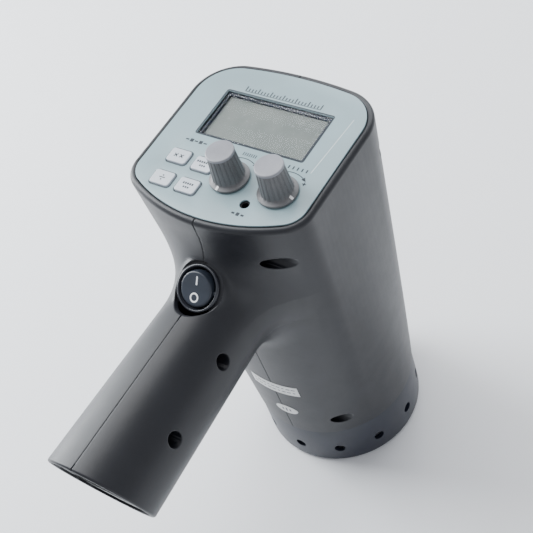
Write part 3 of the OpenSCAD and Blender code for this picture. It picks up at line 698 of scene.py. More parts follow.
def soft_min(a, b, size):
    """Smaller of two distances, blended over size."""
    mix = np.clip(0.5 + 0.5 * (b - a) / size, 0, 1)
    return b + (a - b) * mix - size * mix * (1 - mix)


def rounded_max(a, b, radius):
    """Larger of two distances, with the edge between them rounded."""
    return (np.minimum(np.maximum(a, b), -radius)
            + np.hypot(np.maximum(a + radius, 0), np.maximum(b + radius, 0)))


class ShellSurface:
    """Signed distance, near enough, to the outside of the head, handle and switch seat."""

    def __init__(self):
        scene = bpy.context.scene
        self.shell = scene.strobe_shell
        self.handle = scene.strobe_handle
        self.switch = scene.strobe_switch
        corners = np.array(panel_outline(OUTLINE_HAIR, 12))
        steps = np.linspace(0, 1, 24, endpoint=False)[:, None]
        outline = np.concatenate([a + (b - a) * steps for a, b in zip(corners, np.roll(corners, -1, 0))])
        self.centre_y = (self.shell.rear - self.shell.front) / 2
        angles = np.arctan2(outline[:, 1] - self.centre_y, outline[:, 0])
        angles, first = np.unique(angles, return_index=True)
        radii = np.hypot(outline[:, 0], outline[:, 1] - self.centre_y)[first]
        self.angles = np.linspace(-math.pi, math.pi, 1441)
        self.radii = np.interp(self.angles, angles, radii, period=math.tau)

    def head_side(self, p):
        """Distance to the side of the head, which turns from round to the panel's outline."""
        s = self.shell
        rise = np.clip((p[:, 2] - s.foot) / (s.top - s.foot), -0.2, 1.05)
        share_of_outline = np.sign(rise) * np.abs(rise) ** s.fullness
        y = p[:, 1] - self.centre_y * rise
        angle = np.arctan2(y, p[:, 0])
        outline = np.interp(angle, self.angles, self.radii)
        radius = s.foot_radius + (outline - s.foot_radius) * share_of_outline
        return np.hypot(p[:, 0], y) - radius

    def grip_side(self, p):
        """Distance to the side of the handle."""
        s = self.handle
        along = (-p[:, 1] - s.root) / (s.reach - s.root)
        half_width = (s.root_width + (s.end_width - s.root_width) * along) / 2
        half_height = (s.root_height + (s.end_height - s.root_height) * along) / 2
        up = (p[:, 2] - (s.top - half_height)) / half_height
        across = p[:, 0] / half_width
        radial = np.hypot(across, up)
        scale = np.hypot(half_width * across, half_height * up) / np.maximum(radial, 1e-6)
        return (radial - 1) * scale

    def grip_end(self, p):
        """Distance past the handle's end face."""
        s = self.handle
        return -(p[:, 1] + s.reach) * math.cos(s.lean) - (p[:, 2] - s.top) * math.sin(s.lean)

    def seat(self, p):
        """Short boss that carries the switch's bezel where the blend falls away beside it."""
        s = self.switch
        out = Vector((0, -math.sin(s.lean), math.cos(s.lean)))
        height = (p[:, 1] - s.y) * out.y + (p[:, 2] - s.z) * out.z
        up = (p[:, 1] - s.y) * math.cos(s.lean) + (p[:, 2] - s.z) * math.sin(s.lean)
        ring = np.hypot(p[:, 0], up) - (s.bezel / 2 + 1.1 * MM)
        return rounded_max(ring, height - 0.4 * MM, 0.8 * MM)

    def value(self, p):
        s = self.handle
        middle_z = s.top - s.root_height / 2
        upper = np.clip((p[:, 2] - middle_z) / (20 * MM) + 0.5, 0, 1)
        size = s.blend_under + (s.blend_top - s.blend_under) * upper
        head = rounded_max(self.head_side(p), p[:, 2] - self.shell.top, self.shell.rim_round)
        grip = rounded_max(self.grip_side(p), self.grip_end(p), s.lip_round)
        grip = np.maximum(grip, p[:, 1] + GRIP_STOP)
        body = soft_min(head, grip, size)
        return soft_min(body, self.seat(p), 4 * MM)

    def slope(self, p):
        step = 0.02 * MM
        result = np.empty_like(p)
        for axis in range(3):
            shift = np.zeros(3)
            shift[axis] = step
            result[:, axis] = (self.value(p + shift) - self.value(p - shift)) / (2 * step)
        return result

    def settle(self, p, level=0.0, rounds=7):
        """Moves points onto the surface that lies level metres outside."""
        for _ in range(rounds):
            slope = self.slope(p)
            square = np.maximum((slope ** 2).sum(axis=1), 0.05)
            move = ((self.value(p) - level) / square)[:, None] * slope
            size = np.linalg.norm(move, axis=1, keepdims=True)
            p = p - move * np.minimum(1, 3 * MM / np.maximum(size, 1e-9))
        return p

    def normals(self, p):
        slope = self.slope(p)
        return slope / np.linalg.norm(slope, axis=1, keepdims=True)


def hull_of(points):
    shape = bmesh.new()
    for point in points:
        shape.verts.new(point)
    made = bmesh.ops.convex_hull(shape, input=shape.verts)
    bmesh.ops.delete(shape, geom=list(set(made["geom_interior"] + made["geom_unused"])), context="VERTS")
    return shape


def rough_body(grow):
    """Overlapping lofts close to the final shape, grown outwards by grow."""
    scene = bpy.context.scene
    s, h = scene.strobe_shell, scene.strobe_handle
    across = 2 * (s.foot_radius + grow)
    foot = [(*xy, s.foot - 8 * MM) for xy in oval(across, across, 64)]
    rim = [(*xy, s.top + grow) for xy in panel_outline(-grow)]
    root_mid = h.top - h.root_height / 2
    end = handle_end_frame()
    width, height = h.root_width + 2 * grow, h.root_height + 2 * grow
    root = [(x, -h.root + 15 * MM, root_mid + z) for x, z in oval(width, height, 64)]
    neck = [(x, -h.root - 14 * MM, root_mid + z) for x, z in oval(width, height, 64)]
    flare = [(x, -h.root + 22 * MM, root_mid + z) for x, z in oval(width + 36 * MM, height + 60 * MM, 64)]
    tip = [tuple(end @ Vector((x, z, grow))) for x, z in
           oval(h.end_width + 2 * grow, h.end_height + 2 * grow, 64)]
    whole = bmesh.new()
    for points in (foot + rim, root + tip, flare + neck):
        part = bpy.data.meshes.new("part")
        shape = hull_of(points)
        shape.to_mesh(part)
        shape.free()
        whole.from_mesh(part)
        bpy.data.meshes.remove(part)
    return mesh_object("rough_body", whole)


def remeshed(thing, size):
    change = thing.modifiers.new("even mesh", "REMESH")
    change.mode = "VOXEL"
    change.voxel_size = size
    settle_modifiers(thing)


def vertex_array(thing):
    flat = np.empty(len(thing.data.vertices) * 3)
    thing.data.vertices.foreach_get("co", flat)
    return flat.reshape(-1, 3)


def set_vertices(thing, points):
    thing.data.vertices.foreach_set("co", points.ravel())
    thing.data.update()


def even_out(thing, surface, level, rounds):
    """Settles the mesh on the surface and slides its points until its faces are even."""
    edges = np.empty(len(thing.data.edges) * 2, dtype=np.int64)
    thing.data.edges.foreach_get("vertices", edges)
    edges = edges.reshape(-1, 2)
    points = vertex_array(thing)
    above = points[:, 2] > surface.shell.foot - 4 * MM
    points[above] = surface.settle(points[above], level)
    for _ in range(rounds):
        total = np.zeros_like(points)
        number = np.zeros(len(points))
        for a, b in ((0, 1), (1, 0)):
            np.add.at(total, edges[:, a], points[edges[:, b]])
            np.add.at(number, edges[:, a], 1)
        mean = total / np.maximum(number, 1)[:, None]
        moved_points = points + 0.6 * (mean - points)
        points[above] = surface.settle(moved_points[above], level, 3)
    set_vertices(thing, points)


def add_seam_loops(thing, offsets):
    """Cuts edge loops into the mesh beside the seam."""
    shape = bmesh.new()
    shape.from_mesh(thing.data)
    for offset in offsets:
        for x in (-offset, offset):
            faces = [f for f in shape.faces if any(abs(v.co.x) < 3 * MM for v in f.verts)]
            edges = {e for f in faces for e in f.edges}
            verts = {v for f in faces for v in f.verts}
            bmesh.ops.bisect_plane(shape, geom=[*verts, *edges, *faces], dist=1e-6,
                                   plane_co=(x, 0, 0), plane_no=(1, 0, 0))
    shape.to_mesh(thing.data)
    shape.free()


def along_x(radius, low, high, y, z, steps=48):
    turn_to_x = Matrix.Translation((0, y, z)) @ Matrix.Rotation(math.pi / 2, 4, "Y")
    return moved(rod(radius, low, high, steps), turn_to_x)


# ---------------------------------------------------------------- flat and turned pieces

def inward(points, distance):
    """A closed outline moved to the left of its direction, which is towards the material."""
    here = np.array(points, float)
    before = here - np.roll(here, 1, axis=0)
    after = np.roll(here, -1, axis=0) - here
    sides = []
    for edge in (before, after):
        edge = edge / np.maximum(np.linalg.norm(edge, axis=1, keepdims=True), 1e-12)
        sides.append(np.stack((-edge[:, 1], edge[:, 0]), axis=1))
    spread = 1 + (sides[0] * sides[1]).sum(axis=1, keepdims=True)
    return here + distance * (sides[0] + sides[1]) / np.maximum(spread, 0.4)


def circle(radius, x=0.0, y=0.0, steps=64):
    """Circle as an outline."""
    return [(x + px, y + py) for px, py in oval(2 * radius, 2 * radius, steps)]


def plate(outer, holes, bottom, top, bevel=0.0, steps=3, under=False):
    """Flat piece with holes and a rounded upper edge; under rounds the lower edge too."""
    curve = [(bevel * (1 - math.cos(a)), bevel * (1 - math.sin(a)))
             for a in (math.pi / 2 * i / steps for i in range(steps + 1))] if bevel else [(0.0, 0.0)]
    levels = [(inset, top - drop) for inset, drop in curve]
    levels = [(inset, bottom + drop) for inset, drop in curve[::-1]] + levels if under else (
        [(0.0, bottom)] + levels)
    shape = bmesh.new()
    ends = ([], [])
    for loop in [outer] + [hole[::-1] for hole in holes]:
        rings = [[shape.verts.new((x, y, z)) for x, y in inward(loop, inset)] for inset, z in levels]
        size = len(loop)
        for low, high in zip(rings, rings[1:]):
            for i in range(size):
                j = (i + 1) % size
                shape.faces.new((low[i], low[j], high[j], high[i]))
        for end, ring in zip(ends, (rings[0], rings[-1])):
            end += [shape.edges.get((ring[i], ring[(i + 1) % size])) for i in range(size)]
    for end in ends:
        bmesh.ops.triangle_fill(shape, use_beauty=True, edges=end)
    return shape


def joined(*shapes):
    """One bmesh that holds several, which are used up."""
    whole = bmesh.new()
    for shape in shapes:
        part = bpy.data.meshes.new("part")
        shape.to_mesh(part)
        shape.free()
        whole.from_mesh(part)
        bpy.data.meshes.remove(part)
    return whole


def quarter(radius, z, size, inner=False, steps=5):
    """Profile points of a rounded edge that ends at (radius, z): outside, or inside a bore."""
    side = 1 if not inner else -1
    return [(radius - side * size * (1 - math.cos(a)), z - size * (1 - math.sin(a)))
            for a in (math.pi / 2 * i / steps for i in range(steps + 1))]


# ---------------------------------------------------------------- housing shells

def screw_axes():
    """(y, z) of each housing screw, from the screws' own places."""
    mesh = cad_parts["shell_screws"].data
    points = np.array([v.co for v in mesh.vertices])
    axes = []
    for y, z in points[:, 1:]:
        if all(math.hypot(y - ay, z - az) > 12 * MM for ay, az in axes):
            near = points[np.hypot(points[:, 1] - y, points[:, 2] - z) < 12 * MM]
            axes.append(tuple((near.max(axis=0) + near.min(axis=0))[1:] / 2))
    return axes


class CutSurface(ShellSurface):
    """The shell's outside with its edges rounded wherever a pocket, hole or seam is cut."""
    recess_radius = 3.9 * MM
    recess_floor = 6 * MM
    rim_edge = 0.7 * MM
    seat_edge = 0.45 * MM
    mouth_edge = 0.5 * MM
    recess_edge = 0.4 * MM

    def cutters(self, p):
        """Pairs of distance to a cutter and the rounding of the edge that it leaves."""
        s, h, w = self.shell, self.handle, self.switch
        rim = np.maximum(self.head_side(p) + s.rim_width, s.pocket_floor - p[:, 2])
        out = Vector((0, -math.sin(w.lean), math.cos(w.lean)))
        height = (p[:, 1] - w.y) * out.y + (p[:, 2] - w.z) * out.z
        up = (p[:, 1] - w.y) * math.cos(w.lean) + (p[:, 2] - w.z) * math.sin(w.lean)
        pocket = np.maximum(np.hypot(p[:, 0], up) - (w.bezel / 2 + w.pocket_gap), -height)
        mouth = np.maximum(self.grip_side(p) + s.wall, -h.cap_recess - self.grip_end(p))
        pairs = [(rim, self.rim_edge), (pocket, self.seat_edge), (mouth, self.mouth_edge)]
        for y, z in screw_axes():
            recess = np.maximum(np.hypot(p[:, 1] - y, p[:, 2] - z) - self.recess_radius,
                                self.recess_floor - p[:, 0])
            pairs.append((recess, self.recess_edge))
        return pairs

    def value(self, p):
        s = self.shell
        drop = self.sunk(np.abs(p[:, 0]) - s.seam_gap, s.seam_round)
        for distance, radius in self.cutters(p):
            drop = np.maximum(drop, self.sunk(distance, radius))
        return super().value(p) + drop

    @staticmethod
    def sunk(distance, radius):
        """Depth of a rounded edge at a distance from the wall that it meets."""
        share_left = 0.985 * np.clip(1 - distance / radius, 0, 1)
        return radius * (1 - np.sqrt(1 - share_left ** 2))

    def detail(self, p):
        """Distance to the nearest small feature that needs a finer mesh."""
        near = np.abs(np.stack([distance for distance, _ in self.cutters(p)])).min(axis=0)
        rim = np.hypot(self.head_side(p), p[:, 2] - self.shell.top) - self.shell.rim_round
        lip = np.hypot(self.grip_side(p), self.grip_end(p)) - self.handle.lip_round
        return np.minimum(near, np.minimum(rim, lip))


def refine(thing, surface):
    """Halves the mesh twice near the small features."""
    for reach in (2.4 * MM, 1.1 * MM):
        shape = bmesh.new()
        shape.from_mesh(thing.data)
        shape.faces.ensure_lookup_table()
        centres = np.array([face.calc_center_median() for face in shape.faces])
        near = np.flatnonzero(surface.detail(centres) < reach)
        edges = {edge for i in near for edge in shape.faces[i].edges}
        bmesh.ops.subdivide_edges(shape, edges=list(edges), cuts=1, use_grid_fill=True)
        shape.to_mesh(thing.data)
        shape.free()


def outer_body(surface):
    """The shells' outside as one closed body, finely meshed near its small features."""
    s = bpy.context.scene.strobe_shell
    body = rough_body(1 * MM)
    remeshed(body, s.voxel)
    plain = ShellSurface()
    even_out(body, plain, 0.0, 4)
    refine(body, surface)
    add_seam_loops(body, [s.seam_gap + s.seam_round * part for part in (0, 0.14, 0.36, 0.62, 1)])
    points = vertex_array(body)
    above = points[:, 2] > s.foot - 3 * MM
    points[above] = surface.settle(points[above], 0.0, 9)
    set_vertices(body, points)
    return body


def inner_body():
    """The hollow inside the shells, with the screw bosses and the board's rails left standing."""
    s = bpy.context.scene.strobe_shell
    body = rough_body(0.0)
    remeshed(body, 2.2 * s.voxel)
    even_out(body, InsideSurface(), 0.0, 3)
    for y, z in screw_axes():
        combine(body, mesh_object("boss", along_x(CutSurface.recess_radius + 2 * MM, -0.1, 0.1, y, z)))
    low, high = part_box("power_board")
    for y in (low.y - 2.1 * MM, high.y + 0.15 * MM):
        for side in (-1, 1):
            start, end = sorted((side * (high.x - 3 * MM), side * 0.08))
            rail = prism([(start, y), (end, y), (end, y + 2 * MM), (start, y + 2 * MM)],
                         low.z + 2 * MM, high.z - 2 * MM)
            combine(body, mesh_object("rail", rail))
    return body


class InsideSurface(ShellSurface):
    """Inside of the shells: the outside moved in by the wall, open at the panel and handle end."""

    def value(self, p):
        s = self.shell
        ledge = s.pocket_floor - 3.5 * MM
        upper = np.clip((p[:, 2] - self.handle.top + self.handle.root_height / 2) / (20 * MM) + 0.5, 0, 1)
        size = self.handle.blend_under + (self.handle.blend_top - self.handle.blend_under) * upper
        head = rounded_max(self.head_side(p), p[:, 2] - ledge - s.wall, s.rim_round)
        grip = np.maximum(self.grip_side(p), self.grip_end(p) - 6 * MM)
        grip = np.maximum(grip, p[:, 1] + GRIP_STOP)
        return soft_min(head, grip, size) + s.wall


def shell_cutters():
    """Every pocket and hole that is cut through both shells, as bmeshes."""
    scene = bpy.context.scene
    s, h, w = scene.strobe_shell, scene.strobe_handle, scene.strobe_switch
    gap = 0.15 * MM
    tongue = s.rim_width - 1 * MM - gap
    seat, end = switch_frame(), handle_end_frame()
    flange = 2 * 1.45 * MM - 2 * gap
    deep = -(h.cap_recess + 3 * MM + gap)
    end_height = h.end_height / math.cos(h.lean)
    return [
        prism([(-0.2, -0.3), (0.2, -0.3), (0.2, 0.2), (-0.2, 0.2)], s.foot - 0.1, s.foot),
        prism(panel_outline(s.rim_width - POCKET_HAIR, 1), s.pocket_floor, s.top + 0.02),
        prism(panel_outline(s.rim_width + 1.5 * MM), s.pocket_floor - 8 * MM, s.top),
        prism(panel_outline(tongue), s.pocket_floor, s.pocket_floor + 1.35 * MM),
        rod(45.3 * MM, s.foot + 2.2 * MM, s.foot + 4.5 * MM, 96),
        moved(rod(w.bezel / 2 + w.pocket_gap, 0, 0.03, 96), seat),
        moved(rod(w.bezel / 2 - 1.35 * MM, -0.025, 0.002, 64), seat),
        moved(prism(oval(h.end_width - flange, end_height - flange), deep, deep + 1.8 * MM), end),
    ]


def field_normals(thing, surface):
    """Shades the curved surface by its true slope and leaves the cut faces crisp."""
    shade(thing, 30)
    mesh = thing.data
    points = vertex_array(thing)
    on = np.abs(surface.value(points)) < 0.04 * MM
    slopes = surface.normals(points)
    corners = len(mesh.loops)
    vertex = np.empty(corners, dtype=np.int64)
    mesh.loops.foreach_get("vertex_index", vertex)
    normals = np.empty(corners * 3)
    mesh.corner_normals.foreach_get("vector", normals)
    normals = normals.reshape(-1, 3)
    face_normals = np.empty(len(mesh.polygons) * 3)
    mesh.polygons.foreach_get("normal", face_normals)
    totals = np.empty(len(mesh.polygons), dtype=np.int64)
    mesh.polygons.foreach_get("loop_total", totals)
    face_normals = np.repeat(face_normals.reshape(-1, 3), totals, axis=0)
    agrees = (slopes[vertex] * face_normals).sum(axis=1) > 0.8
    use = on[vertex] & agrees
    normals[use] = slopes[vertex][use]
    mesh.normals_split_custom_set(normals)


def build_shells():
    """Outer body minus inner body and cutters, halved along the seam."""
    s = bpy.context.scene.strobe_shell
    surface = CutSurface()
    body = outer_body(surface)
    combine(body, inner_body())
    for number, cutter in enumerate(shell_cutters()):
        combine(body, mesh_object(f"cutter{number}", cutter))
    sides = {"left": -1, "right": 1}
    material = finish_named("moulded_shell", moulded, tuple(s.tone))
    for name, side in sides.items():
        half = add_object(f"{name}_housing_shell", body.data.copy())
        edge = side * s.seam_gap
        start, end = sorted((edge, -side * 0.2))
        combine(half, mesh_object("other_half", prism(
            [(start, -0.3), (end, -0.3), (end, 0.2), (start, 0.2)], -0.1, 0.4)))
        for y, z in screw_axes():
            if side > 0:
                recess = along_x(surface.recess_radius, surface.recess_floor, 0.1, y, z)
                combine(half, mesh_object("recess", recess))
                combine(half, mesh_object("hole", along_x(1.75 * MM, -0.01, 0.01, y, z, 24)))
            else:
                combine(half, mesh_object("pilot", along_x(1.48 * MM, -9.5 * MM, 0.01, y, z, 24)))
        field_normals(half, surface)
        piece(half, material, "housing", f"{name}_shell")
    remove(body)


# ---------------------------------------------------------------- lens ring and lamp

def build_lens_ring():
    """Turned lens ring with a bead that clips into the shells, and a row of vents."""
    s = bpy.context.scene.strobe_lamp
    spigot = bpy.context.scene.strobe_shell.foot_radius - bpy.context.scene.strobe_shell.wall - 0.15 * MM
    seat = spigot - 1.4 * MM
    bore = seat - 3.2 * MM
    top = s.height + 7 * MM
    profile = [(s.radius - s.edge_round * (1 - math.sin(a)), s.edge_round * (1 - math.cos(a)))
               for a in (math.pi / 2 * i / 8 for i in range(1, 9))]
    profile = [(s.radius - 2 * MM, 0)] + profile
    profile += quarter(s.radius, s.height, 0.5 * MM)
    profile += [(spigot, s.height), (spigot, s.height + 2.5 * MM)]
    profile += [(spigot + 1.2 * MM, s.height + 2.7 * MM), (spigot + 1.2 * MM, s.height + 4.3 * MM)]
    profile += [(spigot, s.height + 4.5 * MM), (spigot, top), (seat, top)]
    profile += [(seat, s.mouth_depth + 1.8 * MM), (bore, s.mouth_depth + 1.8 * MM)]
    profile += [(bore, s.mouth_depth + 0.3 * MM), (bore + 0.3 * MM, s.mouth_depth)]
    profile += [(s.mouth, s.mouth_depth), (s.mouth, 0.5 * MM), (s.mouth + 0.35 * MM, 0.05 * MM)]
    ring = mesh_object("lens_ring", turned(profile, 192))
    for k in range(s.vents):
        cutter = moved(rod(s.vent / 2, s.mouth - 4 * MM, s.radius + 4 * MM, 32),
                       Matrix.Rotation(math.tau * k / s.vents, 4, "Z")
                       @ Matrix.Translation((0, 0, s.vent_z)) @ Matrix.Rotation(math.pi / 2, 4, "Y"))
        combine(ring, mesh_object("vent", cutter))
    shade(ring, 32)
    material = finish_named("smooth_ring", moulded, tuple(s.tone), 0.36, 0.3 * MM, 0.012 * MM)
    piece(ring, material, "housing", "front_ring")


# ---------------------------------------------------------------- panel

def ring_mark(outer, inner, z, height):
    """Printed border between two outlines."""
    return plate(outer, [inner], z, z + height)


def bar(x, y, width, height, angle=0.0, corner=0.0):
    """Outline of a small printed bar."""
    points = rounded_rectangle(width, height, corner, steps=3) if corner else [
        (width / 2, height / 2), (-width / 2, height / 2),
        (-width / 2, -height / 2), (width / 2, -height / 2)]
    c, s = math.cos(angle), math.sin(angle)
    return [(x + c * px - s * py, y + s * px + c * py) for px, py in points]


def band(centre, radius, width, start, end, steps=28):
    """Outline of a printed arc."""
    outside = arc(centre, radius + width / 2, start, end, steps)
    inside = arc(centre, radius - width / 2, end, start, steps)
    return outside + inside


KEYS = ("double_key", "halve_key", "mode_key", "range_key")
KNOBS = ("fine", "coarse")


def key_place(key):
    """Middle of a key's cap, which the wider flange under it doesn't shift."""
    low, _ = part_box(key)
    s = bpy.context.scene.strobe_panel
    return low.x + s.key_width / 2, low.y + s.key_depth / 2


def knob_place(knob):
    """X and Y of a knob's axis."""
    centre = middle(f"{knob}_knob")
    return centre.x, centre.y


def jack_place():
    """X and Y of the jack's axis."""
    centre = middle("ext_jack")
    return centre.x, centre.y


def window_outline(grow):
    """The display window's outline, grown all round."""
    s = bpy.context.scene.strobe_panel
    return rounded_rectangle(s.window_width + 2 * grow, s.window_depth + 2 * grow,
                             max(grow, 0) + 0.5 * MM, 0, s.window_y)


def key_outline(key, grow):
    """A key cap's outline, grown all round."""
    s = bpy.context.scene.strobe_panel
    x, y = key_place(key)
    return rounded_rectangle(s.key_width + 2 * grow, s.key_depth + 2 * grow, 1.5 * MM + grow, x, y)


def build_overlay():
    """Printed film over the panel, with its window, key, knob and jack holes."""
    s = bpy.context.scene.strobe_panel
    inset = bpy.context.scene.strobe_shell.rim_width + 0.3 * MM
    holes = [window_outline(0.0)] + [key_outline(key, 0.3 * MM) for key in KEYS]
    holes += [circle(4.1 * MM, *knob_place(knob)) for knob in KNOBS]
    holes.append(circle(2.5 * MM, *jack_place()))
    film = mesh_object("panel_film", plate(panel_outline(inset, 4), holes, s.face - s.film, s.face,
                                           0.16 * MM, 3))
    shade(film, 40)
    piece(film, finish_named("printed_panel_film", printed_film, tuple(s.film_tone)), "housing",
          "panel_overlay")


def build_film_pale_line():
    """Fine pale line near the panel's right side."""
    s = bpy.context.scene.strobe_panel
    start, end = Vector((37.5 * MM, -9.0 * MM)), Vector((40.2 * MM, 26.5 * MM))
    along = end - start
    outline = bar(*((start + end) / 2), along.length, 0.28 * MM, math.atan2(along.y, along.x))
    line = mesh_object("film_pale_line", plate(outline, [], s.face, s.face + 0.02 * MM))
    pale = finish_named("pale_scratch", ink, (0.62, 0.66, 0.66))
    piece(line, pale, "housing")


def arrow_head(tip, direction, size):
    """Outline of an arrowhead."""
    ahead = Vector((math.cos(direction), math.sin(direction)))
    side = Vector((-ahead.y, ahead.x))
    point = Vector(tip)
    return [tuple(point + ahead * size), tuple(point + side * size * 0.55 - ahead * size * 0.35),
            tuple(point - side * size * 0.55 - ahead * size * 0.35)]


def knob_marks(x, y):
    """Turning arc with an arrowhead, round the back of a knob."""
    radius = 12.9 * MM
    end = math.radians(57)
    tip = (x + radius * math.cos(end), y + radius * math.sin(end))
    return [band((x, y), radius, 0.42 * MM, math.radians(118), end),
            arrow_head(tip, end - math.pi / 2, 1.9 * MM)]


def build_panel_marks():
    """Printed borders, scales and arrows on the panel, all without lettering."""
    s = bpy.context.scene.strobe_panel
    z = s.face
    rings = [ring_mark(window_outline(0.85 * MM), window_outline(0.12 * MM), z, s.print_height)]
    for key in KEYS:
        rings.append(ring_mark(key_outline(key, 0.75 * MM), key_outline(key, 0.36 * MM), z, s.print_height))
    bars = []
    scale_y = s.window_y + s.window_depth / 2 + 3.9 * MM
    for i in range(-12, 13):
        tall = 2.9 * MM if i % 4 == 0 else 1.8 * MM
        bars.append(bar(i * 1.78 * MM, scale_y - (2.9 * MM - tall) / 2, 0.62 * MM, tall))
    bars.append(bar(0, scale_y - 1.75 * MM, 43.2 * MM, 0.3 * MM))
    for i in range(5):
        bars.append(bar((-31.6 + 2.6 * i) * MM, -9.6 * MM, 1.9 * MM, 1.9 * MM if i % 2 else 0.7 * MM))
    for knob, pitch, thick, number in (("fine", 1.15, 0.45, 7), ("coarse", 2.4, 0.7, 5)):
        x, y = knob_place(knob)
        for i in range(number):
            place = x + (i - (number - 1) / 2) * pitch * MM + 1.2 * MM
            bars.append(bar(place, y + 15.4 * MM, thick * MM, 1.9 * MM))
        bars += knob_marks(x, y)
    x, y = knob_place("coarse")
    for turned_by in (0, math.pi / 2):
        bars.append(bar(x + 8.6 * MM, y + 8.4 * MM, 2.0 * MM, 0.5 * MM, turned_by))
    x, y = jack_place()
    for i in (-1, 0, 1):
        bars.append(bar(x + i * 2.5 * MM, y - 6.2 * MM, 1.7 * MM, 1.9 * MM - abs(i) * 0.9 * MM, 0, 0.3 * MM))
    marks = mesh_object("panel_print", joined(*rings, *printed(bars, z, s.print_height)))
    material = finish_named("panel_ink", ink, tuple(s.ink_tone))
    piece(marks, material, "housing")


def printed(outlines, z, thick):
    """Thin flat marks, one for each outline, as a list of bmeshes."""
    return [plate(outline if turns_left(outline) else outline[::-1], [], z, z + thick)
            for outline in outlines]


def turns_left(outline):
    """True for an outline that runs anticlockwise."""
    points = np.array(outline)
    following = np.roll(points, -1, axis=0)
    return (points[:, 0] * following[:, 1] - points[:, 1] * following[:, 0]).sum() > 0


def ink(name, tone):
    """Screen-printed ink with tiny pinholes and uneven density."""
    graph = Graph(name)
    density = graph.noise(1.5 * MM, 3.0, 0.6)
    pinholes = graph.noise(0.25 * MM, 1.0, 0.5).within(0.72, 0.8)
    base = graph.mix(density, lighter(tone, 0.85), lighter(tone, 1.3))
    return graph.finish(
        Base_Color=graph.mix(pinholes * 0.4, base, lighter(tone, 4.0)),
        Roughness=0.42 + 0.12 * density, Normal=graph.bump(density, 0.004 * MM))


def build_display():
    """Clear window with a rounded edge, over the dark frame and the display."""
    low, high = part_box("lcd_window")
    s = bpy.context.scene.strobe_panel
    outline = rounded_rectangle(high.x - low.x, high.y - low.y, 0.6 * MM, 0, s.window_y)
    window = mesh_object("display_window", plate(outline, [], low.z, high.z, 0.15 * MM, 2, True))
    shade(window, 40)
    piece(window, finish_named("clear_window", clear, (0.90, 0.92, 0.92), 0.02, 0.04, 1.12), "housing",
          "lcd_window")
    low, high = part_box("lcd_frame")
    outline = rounded_rectangle(high.x - low.x, high.y - low.y, 0.3 * MM, 0, s.window_y, 3)
    hole = rounded_rectangle(high.x - low.x - 2.8 * MM, high.y - low.y - 2.8 * MM, 0.3 * MM, 0,
                             s.window_y, 3)
    surround = mesh_object("display_surround", plate(outline, [hole], low.z, high.z, 0.12 * MM, 2))
    shade(surround, 40)
    piece(surround, finish_named("navy_moulding", moulded, (0.018, 0.026, 0.048), 0.35, 0.25 * MM,
                                 0.01 * MM), "housing", "lcd_frame")


# ---------------------------------------------------------------- keys

def key_marks(key):
    """The mark on each key: cross, division sign, or rows of ticks."""
    x, y = key_place(key)
    row = [bar(x + i * 1.25 * MM, y + 1.0 * MM, 0.8 * MM, 1.1 * MM) for i in range(-3, 4)]
    short = [bar(x + i * 1.2 * MM, y - 1.2 * MM, 0.75 * MM, 0.95 * MM) for i in (-1, 0, 1)]
    marks = {
        "double_key": [bar(x + dx * MM, y, 2.6 * MM, 0.5 * MM, turned_by)
                       for dx in (-1.6, 1.6) for turned_by in (math.pi / 4, -math.pi / 4)],
        "halve_key": [bar(x, y, 3.2 * MM, 0.5 * MM), circle(0.42 * MM, x, y + 1.25 * MM, 16),
                      circle(0.42 * MM, x, y - 1.25 * MM, 16)],
        "mode_key": row + short,
        "range_key": row[1:6] + short,
    }
    return marks[key]


def build_keys():
    """Four key caps on flanged stems, and the marks on them."""
    s = bpy.context.scene.strobe_panel
    plastic = finish_named("key_plastic", moulded, tuple(s.key_tone), 0.40, 0.3 * MM, 0.008 * MM, 0.15, 0.03)
    inked = finish_named("panel_ink", ink, tuple(s.ink_tone))
    for key in KEYS:
        low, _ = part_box(key)
        x, y = key_place(key)
        top = s.face + s.key_rise
        flange = top - 4.9 * MM
        cap = plate(key_outline(key, 0.0), [], flange, top, 0.4 * MM, 4)
        foot = prism([(low.x + 1 * MM, low.y + 1 * MM), (low.x + 12.3 * MM, low.y + 1 * MM),
                      (low.x + 12.3 * MM, low.y + 9.3 * MM), (low.x + 1 * MM, low.y + 9.3 * MM)],
                     flange, flange + 1 * MM)
        stem = moved(rod(2 * MM, low.z, flange + 0.5 * MM, 32), Matrix.Translation((x, y, 0)))
        made = mesh_object(f"{key}_cap", joined(cap, foot, stem))
        shade(made, 40)
        piece(made, plastic, key, key)
        marks = mesh_object(f"{key}_print", joined(*printed(key_marks(key), top, s.print_height)))
        piece(marks, inked, key)


# ---------------------------------------------------------------- knobs

def fluted(profile, flutes, depth, steps):
    """Body turned round Z whose grooves run up it; profile points are (radius, z, groove share)."""
    shape = bmesh.new()
    rings = []
    for radius, z, share_of_depth in profile:
        ring = []
        for k in range(flutes * steps):
            across = abs((k % steps) / steps - 0.5) / 0.5
            groove = max(0.0, 1 - (across / 0.42) ** 2) if across < 0.42 else 0.0
            r = radius - depth * share_of_depth * groove
            angle = math.tau * k / (flutes * steps)
            ring.append(shape.verts.new((r * math.cos(angle), r * math.sin(angle), z)))
        rings.append(ring)
    for low, high in zip(rings, rings[1:]):
        for k in range(len(low)):
            n = (k + 1) % len(low)
            shape.faces.new((low[k], low[n], high[n], high[k]))
    shape.faces.new(rings[0][::-1])
    shape.faces.new(rings[-1])
    return shape


